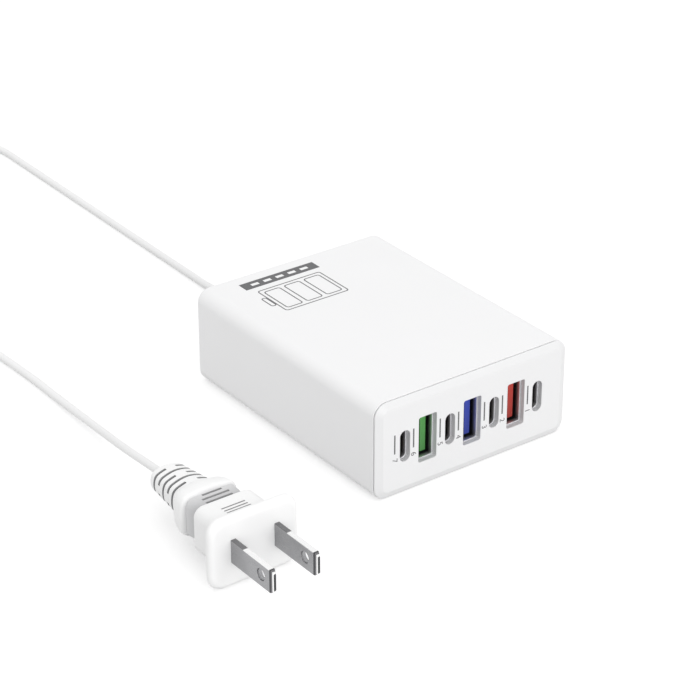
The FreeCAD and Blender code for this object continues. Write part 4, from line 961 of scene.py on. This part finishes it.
class CHARGER_OT_lead(bpy.types.Operator):
    """Lay the lead from the case through its coil to the plug, with its bush and tie"""

    bl_idname = "charger.lead"
    bl_label = "Mains lead"

    ribs = 3
    # Section of a groove in the bush's sleeve: shares of its width and of its depth.
    rib_profile = ((0.0, 0.0), (0.15, 1.0), (0.85, 1.0), (1.0, 0.0))

    def execute(self, context):
        sizes, tints = context.scene.charger_lead, context.scene.charger_finish
        curve = bpy.data.curves.new("mains_lead", "CURVE")
        curve.dimensions = "3D"
        curve.bevel_depth = sizes.diameter / 2
        curve.bevel_resolution = 5
        curve.use_fill_caps = True
        route = [*ROUTE_OUT, *self.coil_points(), *ROUTE_IN]
        spline = curve.splines.new("NURBS")
        spline.points.add(len(route) - 1)
        for point, place in zip(spline.points, route):
            point.co = (*(value * MM for value in place), 1.0)
        spline.order_u = 3
        spline.use_endpoint_u = True
        spline.resolution_u = 6
        lead = introduce("mains_lead", curve)
        white = plastic("cord white", tints.cord_white, (0.36, 0.46), bump=0.2, grain=3500.0)
        dress(lead, white, ["cord_lead_out", "cord_coil", "cord_lead_in"])
        self.bush(sizes, tints)
        tie_white = plastic("tie white", tints.cord_white, MATT)
        stand_in("cord_tie", "coil_tie", sizes.tie_edge, tie_white)
        return {"FINISHED"}

    def coil_points(self):
        """Points of the coil's turns; each turn ends in a move to the next one's place."""
        points = []
        turns = len(COIL_TURNS) + COIL_LAST / 360.0
        for step in range(1, int(turns * POINTS_PER_TURN) + 1):
            turn, share = divmod(step / POINTS_PER_TURN, 1.0)
            here = COIL_TURNS[min(int(turn), len(COIL_TURNS) - 1)]
            after = COIL_TURNS[min(int(turn) + 1, len(COIL_TURNS) - 1)]
            move = max(0.0, share - 1.0 + COIL_MOVE) / COIL_MOVE
            radius, height = (now + move * (then - now) for now, then in zip(here, after))
            angle = math.radians(COIL_START) + 2 * math.pi * step / POINTS_PER_TURN
            points.append((
                COIL_MIDDLE[0] + radius * math.cos(angle),
                COIL_MIDDLE[1] + radius * math.sin(angle), height,
            ))
        return points

    def bush(self, sizes, tints):
        """Turned bush: two flanges, a neck in the wall and a ribbed sleeve."""
        low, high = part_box("cord_bush")
        wall_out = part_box("housing")[1].y
        wall_in = wall_out - bpy.context.scene.charger_case.wall
        edge = sizes.bush_edge
        collar = wall_out + sizes.flange_thickness
        rings = [
            (low.y + edge, sizes.flange), (wall_in, sizes.flange), (wall_in, sizes.neck),
            (wall_out, sizes.neck), (wall_out, sizes.flange), (collar - edge, sizes.flange),
            (collar, sizes.flange - edge), (collar, sizes.root),
        ]

        def sleeve(depth):
            share = (depth - wall_out) / (high.y - wall_out)
            return sizes.root + share * (sizes.tip - sizes.root)

        for number in range(self.ribs):
            start = wall_out + sizes.rib_start + number * sizes.rib_pitch
            for share, sunk in self.rib_profile:
                depth = start + share * sizes.rib_width
                rings.append((depth, sleeve(depth) - sunk * sizes.rib_depth))
        rings += [(high.y - edge, sleeve(high.y - edge)), (high.y, sizes.tip - edge)]
        middle = (low + high) / 2
        bush = disc("lead_bush", (middle.x, low.y, middle.z), sizes.flange - edge)
        with editing(bush):
            pick_all()
            for depth, radius in rings:
                grow(bush, depth, 2 * radius, 2 * radius)
        outward(bush)
        smooth(bush)
        white = plastic("plug white", tints.plug_white, SATIN, bump=0.2)
        dress(bush, white, ["cord_bush"])


# Rows and roundings along the plug


def row(first, pitch, count):
    """Middles of evenly spaced details."""
    return [first + number * pitch for number in range(count)]


def sides(middles, width):
    """Both edges of each detail in a row."""
    return [middle + side * width / 2 for middle in middles for side in (-1, 1)]


def quarter(steps):
    """Sine and cosine at even steps through a quarter turn."""
    turns = [math.pi / 2 * step / steps for step in range(steps + 1)]
    return [(math.sin(turn), math.cos(turn)) for turn in turns]


def shrunk(profile, wide, tall):
    """Rings of a rounding, from the place of each and how much smaller it is on every side."""
    return [(depth, wide - 2 * less, tall - 2 * less) for depth, less in profile]


class CHARGER_OT_plug(bpy.types.Operator):
    """Model the plug: flange, block, finger grip and slotted strain relief, with its blades"""

    bl_idname = "charger.plug"
    bl_label = "Plug"

    # Shares of the flare's length at which it gets a ring, and the power of its curve.
    flare_shares = (0.0, 0.03, 0.07, 0.12, 0.18, 0.26, 0.36, 0.48, 1.0)
    flare_power = 2.4
    # Shoulder: share of the way from the finger grip to the strain relief, and share of its size.
    shoulder_shares = (
        (0.02, 0.92), (0.06, 0.97), (0.11, 0.993), (0.18, 1.0), (0.34, 0.984), (0.51, 0.955),
        (0.68, 0.91), (0.82, 0.85), (0.92, 0.79), (0.985, 0.735),
    )
    grip_roundness = 0.35
    shoulder_roundness = 0.5
    # Cuts in the flange's level and upright sides, which are the edges longer than this.
    side_cuts = ((False, 8), (True, 5))
    side_least = 3 * MM
    # A detail's faces: share of its width from its middle, and how far they look along the plug.
    detail_reach = 0.4
    detail_facing = 0.8
    smooth_angle = 40.0
    # Blades: width of the top edge that gets a painted highlight, the stretch from the plug's face
    # where a painted dark reflection takes its place, and painted reflection bands at the tip.
    rubbed_edge = 0.3 * MM
    dull_stretch = 5.4 * MM
    tip_bands = (
        (1.5 * MM, "blade_dark"), (1.05 * MM, "blade_root"), (0.65 * MM, "blade_edge"),
        (0.25 * MM, "blade_dark"),
    )

    def execute(self, context):
        sizes, tints = context.scene.charger_plug, context.scene.charger_finish
        white = self.moulding(sizes, tints)
        shade = plastic("plug shade", tints.plug_shade, MATT, bump=0.2)
        dress(self.body(sizes, white, shade), white, ["plug_body"])
        plating = self.plating(tints)
        for side in ("left", "right"):
            stand_in(
                f"plug_blade_{side}", f"blade_{side}", sizes.blade_edge, plating,
                BREAK_STEPS,
            )
        return {"FINISHED"}

    def moulding(self, sizes, tints):
        """White plastic with painted shade in the finger grip's recess, darkest at the block."""
        white = plastic("plug moulding", tints.plug_white, SATIN, bump=0.2)
        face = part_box("plug_body")[0].y
        start, end = face + sizes.block_back, face + sizes.waist_end
        behind = ramp_mask(white, "Y", start, start + sizes.grip_step / 2)
        before = ramp_mask(white, "Y", end + sizes.grip_step, end - sizes.grip_step)
        fading = ramp_mask(white, "Y", face + sizes.relief_start, start)
        tint_by(white, both(white, both(white, behind, before), fading), tints.grip_shade)
        return white

    def plating(self, tints):
        """Plated brass: grey flats, with a painted highlight along the top edges, a painted dark
        reflection near the plug's face and painted reflection bands at the tips.
        """
        plated = metal("blade plating", tints.blade, (0.2, 0.32))
        low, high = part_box("plug_blade_left")
        edge = self.rubbed_edge
        # Painted highlight along the top edges.
        top = ramp_mask(plated, "Z", high.z - edge, high.z - edge / 3)
        tint_by(plated, top, tints.blade_edge)
        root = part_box("plug_body")[0].y - self.dull_stretch
        near_root = ramp_mask(plated, "Y", root, root + edge)
        # Painted dark reflection on the top edges near the plug's face.
        tint_by(plated, both(plated, top, near_root), tints.blade_root)
        # Painted reflections: dark and bright bands at the tip.
        for place, tint in self.tip_bands:
            tip = low.y + place
            tint_by(plated, ramp_mask(plated, "Y", tip, tip - edge / 3), getattr(tints, tint))
        return plated

    def body(self, sizes, white, shade):
        """Moulded body, grown ring by ring from its front face."""
        low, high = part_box("plug_body")
        face = low.y
        wide, tall = high.x - low.x, high.z - low.z
        middle = Vector(((low.x + high.x) / 2, face, (low.z + high.z) / 2))
        edge = sizes.flange_edge
        body = plate("plug", middle, (wide - 2 * edge, 1.0, tall - 2 * edge), math.pi / 2)
        body.data.materials.append(white)
        body.data.materials.append(shade)
        runs = (
            (self.flange_rings(sizes, wide, tall) + self.grip_rings(sizes), self.grip_roundness),
            (self.shoulder_rings(sizes), self.shoulder_roundness),
            (self.relief_rings(sizes), None),
        )
        with editing(body):
            pick_all()
            round_off(sizes.flange_corner - edge, INNER_STEPS, "VERTICES")
            for upright, cuts in self.side_cuts:
                def is_side(found, upright=upright):
                    run = found.verts[1].co - found.verts[0].co
                    return run.length > self.side_least and (abs(run.z) > abs(run.x)) == upright

                pick(body, "EDGE", is_side)
                bpy.ops.mesh.subdivide(number_cuts=cuts)
            bpy.ops.mesh.select_mode(type="FACE")
            pick_all()
            for rings, roundness in runs:
                for depth, across, upright in rings:
                    grow(body, face + depth, across, upright)
                if roundness:
                    bpy.ops.transform.tosphere(value=roundness)
            self.sink_details(body, sizes, middle)
        outward(body)
        smooth(body, self.smooth_angle)
        return body

    def flange_rings(self, sizes, wide, tall):
        """Flange and flare: place along the plug, width and height."""
        edge, back = sizes.flange_edge, sizes.flange_back - sizes.flange_edge
        turns = quarter(FLANGE_STEPS)
        profile = [(edge * (1.0 - cos), edge * (1.0 - sin)) for sin, cos in turns[1:]]
        profile += [(edge + back * sin, back * (1.0 - cos)) for sin, cos in turns[1:-1]]
        rings = shrunk(profile, wide, tall)
        last_wide, last_tall = rings[-1][1:]
        run = sizes.flare_end - sizes.flange_back
        depths = [sizes.flange_back + share * run for share in self.flare_shares]
        depths += sides(row(sizes.line_first, sizes.line_pitch, TOP_LINES), sizes.line_width)
        for depth in sorted(depths):
            left = max(0.0, 1.0 - (depth - sizes.flange_back) / run) ** self.flare_power
            rings.append((
                depth, sizes.block_wide + left * (last_wide - sizes.block_wide),
                sizes.block_tall + left * (last_tall - sizes.block_tall),
            ))
        return rings

    def grip_rings(self, sizes):
        """Block and finger grip: place along the plug, width and height."""
        edge, start = sizes.block_edge, sizes.block_back + sizes.grip_step
        profile = [
            (sizes.block_back - edge * (1.0 - sin), edge * (1.0 - cos))
            for sin, cos in quarter(BREAK_STEPS)
        ]
        rings = shrunk(profile, sizes.block_wide, sizes.block_tall)
        grooves = row(sizes.groove_first, sizes.groove_pitch, GRIP_GROOVES)
        end = sizes.waist_end - sizes.grip_step
        for depth in (start, *sides(grooves, sizes.groove_width), end):
            rise = sizes.waist_rise * (depth - start) / (sizes.waist_end - start)
            rings.append((depth, sizes.waist_wide + rise, sizes.waist_tall + rise))
        return rings

    def shoulder_rings(self, sizes):
        """Shoulder behind the finger grip: place along the plug, width and height."""
        run = sizes.relief_start - sizes.waist_end
        return [
            (sizes.waist_end + along * run, share * sizes.shoulder_wide, share * sizes.shoulder_tall)
            for along, share in self.shoulder_shares
        ]

    def relief_size(self, sizes, depth):
        """Width and height of the strain relief at a place along the plug."""
        share = (depth - sizes.relief_start) / (sizes.relief_end - sizes.relief_start)
        wide = sizes.relief_wide + share * (sizes.tip_wide - sizes.relief_wide)
        tall = sizes.relief_tall + share * (sizes.tip_tall - sizes.relief_tall)
        return wide, tall

    def relief_rings(self, sizes):
        """Tapered strain relief, with a pair of rings for each slot and a hole for the lead."""
        end, edge, seat = sizes.relief_end, sizes.tip_edge, sizes.cord_seat
        slots = row(sizes.slot_first, sizes.slot_pitch, RELIEF_SLOTS)
        depths = [sizes.relief_start, *sides(slots, sizes.slot_width), end - edge]
        wide, tall = self.relief_size(sizes, end)
        return [
            *((depth, *self.relief_size(sizes, depth)) for depth in depths),
            (end - edge / 4, wide - edge / 2, tall - edge / 2),
            (end, wide - 2 * edge, tall - 2 * edge), (end, seat, seat),
            (end - sizes.cord_seat_depth, seat, seat),
        ]

    def sink_details(self, body, sizes, middle):
        """Slots of the strain relief, grooves of the finger grip and lines on the flare."""
        half_bridge, half_length = sizes.slot_bridge / 2, sizes.groove_length / 2

        def sink(depth, width, test, scale):
            def chosen(found):
                centre = found.calc_center_median() - middle
                near = abs(centre.y - depth) < self.detail_reach * width
                return near and abs(found.normal.y) < self.detail_facing and test(centre)

            pick(body, "FACE", chosen)
            push()
            bpy.ops.transform.resize(
                value=scale, center_override=(middle.x, middle.y + depth, middle.z)
            )
            # Painted shade: the sunk faces and their walls take the darker colour.
            bpy.ops.mesh.select_more(use_face_step=False)
            paint(body, 1)

        for number, depth in enumerate(row(sizes.slot_first, sizes.slot_pitch, RELIEF_SLOTS)):
            axis = 2 if number % 2 else 0
            wide, tall = (1 - 2 * sizes.slot_depth / size for size in self.relief_size(sizes, depth))
            sink(
                depth, sizes.slot_width, lambda centre: abs(centre[axis]) > half_bridge,
                (wide, 1.0, tall),
            )

        def on_both_flats(centre):
            return abs(centre.x) < half_length and abs(centre.z) > sizes.waist_tall / 3

        def on_top(centre):
            return abs(centre.x) < half_length and centre.z > sizes.block_tall / 3

        scale = (1.0, 1.0, 1 - 2 * sizes.groove_depth / sizes.waist_tall)
        for depth in row(sizes.groove_first, sizes.groove_pitch, GRIP_GROOVES):
            sink(depth, sizes.groove_width, on_both_flats, scale)
        scale = (1.0, 1.0, 1 - 2 * sizes.line_depth / sizes.block_tall)
        for depth in row(sizes.line_first, sizes.line_pitch, TOP_LINES):
            sink(depth, sizes.line_width, on_top, scale)


class CHARGER_OT_inside(bpy.types.Operator):
    """Give the boards and the parts inside the case their finishes"""

    bl_idname = "charger.inside"
    bl_label = "Inside"

    # Each finish: its colour and the nodes that have it.
    finishes = {
        "board": ((0.02, 0.13, 0.05), ("port_board", "main_board", "board_link")),
        "dark moulding": ((0.03, 0.03, 0.032), (
            "port_inductors", "port_controllers", "power_transistors", "bridge_rectifier",
            "optocoupler",
        )),
        "can sleeve": ((0.03, 0.05, 0.12), ("output_capacitors", "bulk_capacitors")),
        "sink metal": ((0.62, 0.63, 0.65), ("heat_sinks",)),
        "ferrite": ((0.05, 0.05, 0.052), ("transformer_core", "choke_core")),
        "bobbin": ((0.04, 0.04, 0.04), ("transformer_bobbin",)),
        "winding tape": ((0.75, 0.5, 0.05), ("transformer_winding",)),
        "copper wire": ((0.72, 0.3, 0.14), ("choke_windings",)),
        "film yellow": ((0.75, 0.55, 0.1), ("film_capacitor",)),
        "disc blue": ((0.06, 0.2, 0.5), ("safety_capacitor",)),
        "fuse brown": ((0.16, 0.07, 0.03), ("fuse",)),
        "wire brown": ((0.2, 0.08, 0.03), ("live_wire",)),
        "wire blue": ((0.05, 0.15, 0.5), ("neutral_wire",)),
    }
    metals = ("sink metal", "copper wire")

    def execute(self, context):
        for name, (tint, nodes) in self.finishes.items():
            made = metal(name, tint) if name in self.metals else plastic(name, tint, spread=0.08)
            for node in nodes:
                coat(frame["nodes"][node], made)
        return {"FINISHED"}


class CHARGER_OT_stage(bpy.types.Operator):
    """Set the floor, the light and the camera"""

    bl_idname = "charger.stage"
    bl_label = "Stage"

    camera_place = (-0.3545, -0.4669, 0.3287)
    camera_back = (-0.5247, -0.7101, 0.4695)
    sensor = 36.0
    nearest_seen = 0.01
    floor_side = 6.0
    floor_roughness = 0.9
    floor_shine = 0.1
    # Each lamp's name, which is also its setting, with its side, its place and what it looks at.
    lamps = (
        ("overhead", 1.6, (-0.1, 0.1, 1.6), (0.0, 0.1, 0.0)),
        ("front", 1.2, (-0.2, -1.5, 0.5), (0.0, 0.0, 0.0)),
    )

    def execute(self, context):
        settings = context.scene.charger_stage
        context.scene.view_settings.view_transform = "Standard"
        self.floor(settings)
        self.sky(context.scene, settings)
        for name, side, place, target in self.lamps:
            light = bpy.data.lights.new(name, "AREA")
            light.energy = getattr(settings, name)
            light.size = side
            self.aim(introduce(name, light), place, Vector(target) - Vector(place))
        camera = introduce("camera", bpy.data.cameras.new("camera"))
        self.aim(camera, self.camera_place, -Vector(self.camera_back))
        camera.data.lens = settings.lens
        camera.data.sensor_width = self.sensor
        camera.data.clip_start = self.nearest_seen
        context.scene.camera = camera
        return {"FINISHED"}

    def aim(self, thing, place, direction):
        """Put a lamp or the camera in its place and turn it."""
        thing.location = place
        thing.rotation_mode = "QUATERNION"
        thing.rotation_quaternion = direction.to_track_quat("-Z", "Y")

    def seen(self, tree):
        """Mask that is 1 for what the camera sees directly, in metal or through glass."""
        path = add(tree, "LightPath").outputs
        total = path["Is Camera Ray"]
        for ray in ("Is Glossy Ray", "Is Transmission Ray"):
            total = maths(tree, "MAXIMUM", total, path[ray])
        return total

    def floor(self, settings):
        """Large sheet of white paper."""
        deselect()
        bpy.ops.mesh.primitive_plane_add(size=self.floor_side, location=(0.0, 0.0, -NEAR))
        floor = bpy.context.object
        floor.name = "floor"
        material = bpy.data.materials.new("floor paper")
        material.use_nodes = True
        tree = material.node_tree
        paper = wire(
            tree, tree.nodes["Principled BSDF"], Base_Color=(*settings.floor, 1.0),
            Roughness=self.floor_roughness, Specular_IOR_Level=self.floor_shine,
        )
        strength = maths(tree, "MULTIPLY", self.seen(tree), settings.floor_lift)
        glow = add(tree, "Emission", Strength=strength)
        total = add(tree, "AddShader", paper.outputs[0], glow.outputs[0])
        wire(tree, tree.nodes["Material Output"], Surface=total.outputs[0])
        floor.data.materials.append(material)

    def sky(self, scene, settings):
        """Even white surroundings: white where they are seen, dimmer as light."""
        scene.world = bpy.data.worlds.new("studio")
        scene.world.use_nodes = True
        tree = scene.world.node_tree
        light = wire(tree, tree.nodes["Background"], Color=WHITE, Strength=settings.sky)
        white = add(tree, "Background", Color=WHITE, Strength=1.0)
        chosen = add(tree, "MixShader", self.seen(tree), light.outputs[0], white.outputs[0])
        wire(tree, tree.nodes["World Output"], Surface=chosen.outputs[0])


class CHARGER_PT_panel(bpy.types.Panel):
    """Lists the charger's pieces and their settings"""

    bl_idname = "CHARGER_PT_panel"
    bl_label = "Charger"
    bl_space_type = "VIEW_3D"
    bl_region_type = "UI"
    bl_category = "Charger"

    def draw(self, context):
        for operator in OPERATORS:
            self.layout.operator(operator.bl_idname)
        for group in SETTINGS:
            settings = getattr(context.scene, group)
            for name in settings.__annotations__:
                self.layout.prop(settings, name)


OPERATORS = (
    CHARGER_OT_stage, CHARGER_OT_lead, CHARGER_OT_case, CHARGER_OT_front_panel,
    CHARGER_OT_large_ports, CHARGER_OT_small_ports, CHARGER_OT_prints, CHARGER_OT_plug,
    CHARGER_OT_inside,
)
SETTINGS = {
    "charger_case": CaseSizes, "charger_print": PrintSizes, "charger_lead": LeadSizes,
    "charger_plug": PlugSizes, "charger_finish": Finishes, "charger_stage": StageSettings,
}


def register():
    """Register the settings, the operators and the panel."""
    for name, group in SETTINGS.items():
        bpy.utils.register_class(group)
        setattr(bpy.types.Scene, name, PointerProperty(type=group))
    for operator in OPERATORS:
        bpy.utils.register_class(operator)
    bpy.utils.register_class(CHARGER_PT_panel)


def unregister():
    """Take everything back out, in the opposite order."""
    bpy.utils.unregister_class(CHARGER_PT_panel)
    for operator in reversed(OPERATORS):
        bpy.utils.unregister_class(operator)
    for name, group in reversed(SETTINGS.items()):
        delattr(bpy.types.Scene, name)
        bpy.utils.unregister_class(group)


def main():
    """Build every piece in order."""
    register()
    bpy.ops.charger.stage()
    bpy.ops.charger.lead()
    bpy.ops.charger.case()
    bpy.ops.charger.front_panel()
    bpy.ops.charger.large_ports()
    bpy.ops.charger.small_ports()
    bpy.ops.charger.prints()
    bpy.ops.charger.plug()
    bpy.ops.charger.inside()


if __name__ == "__main__":
    main()
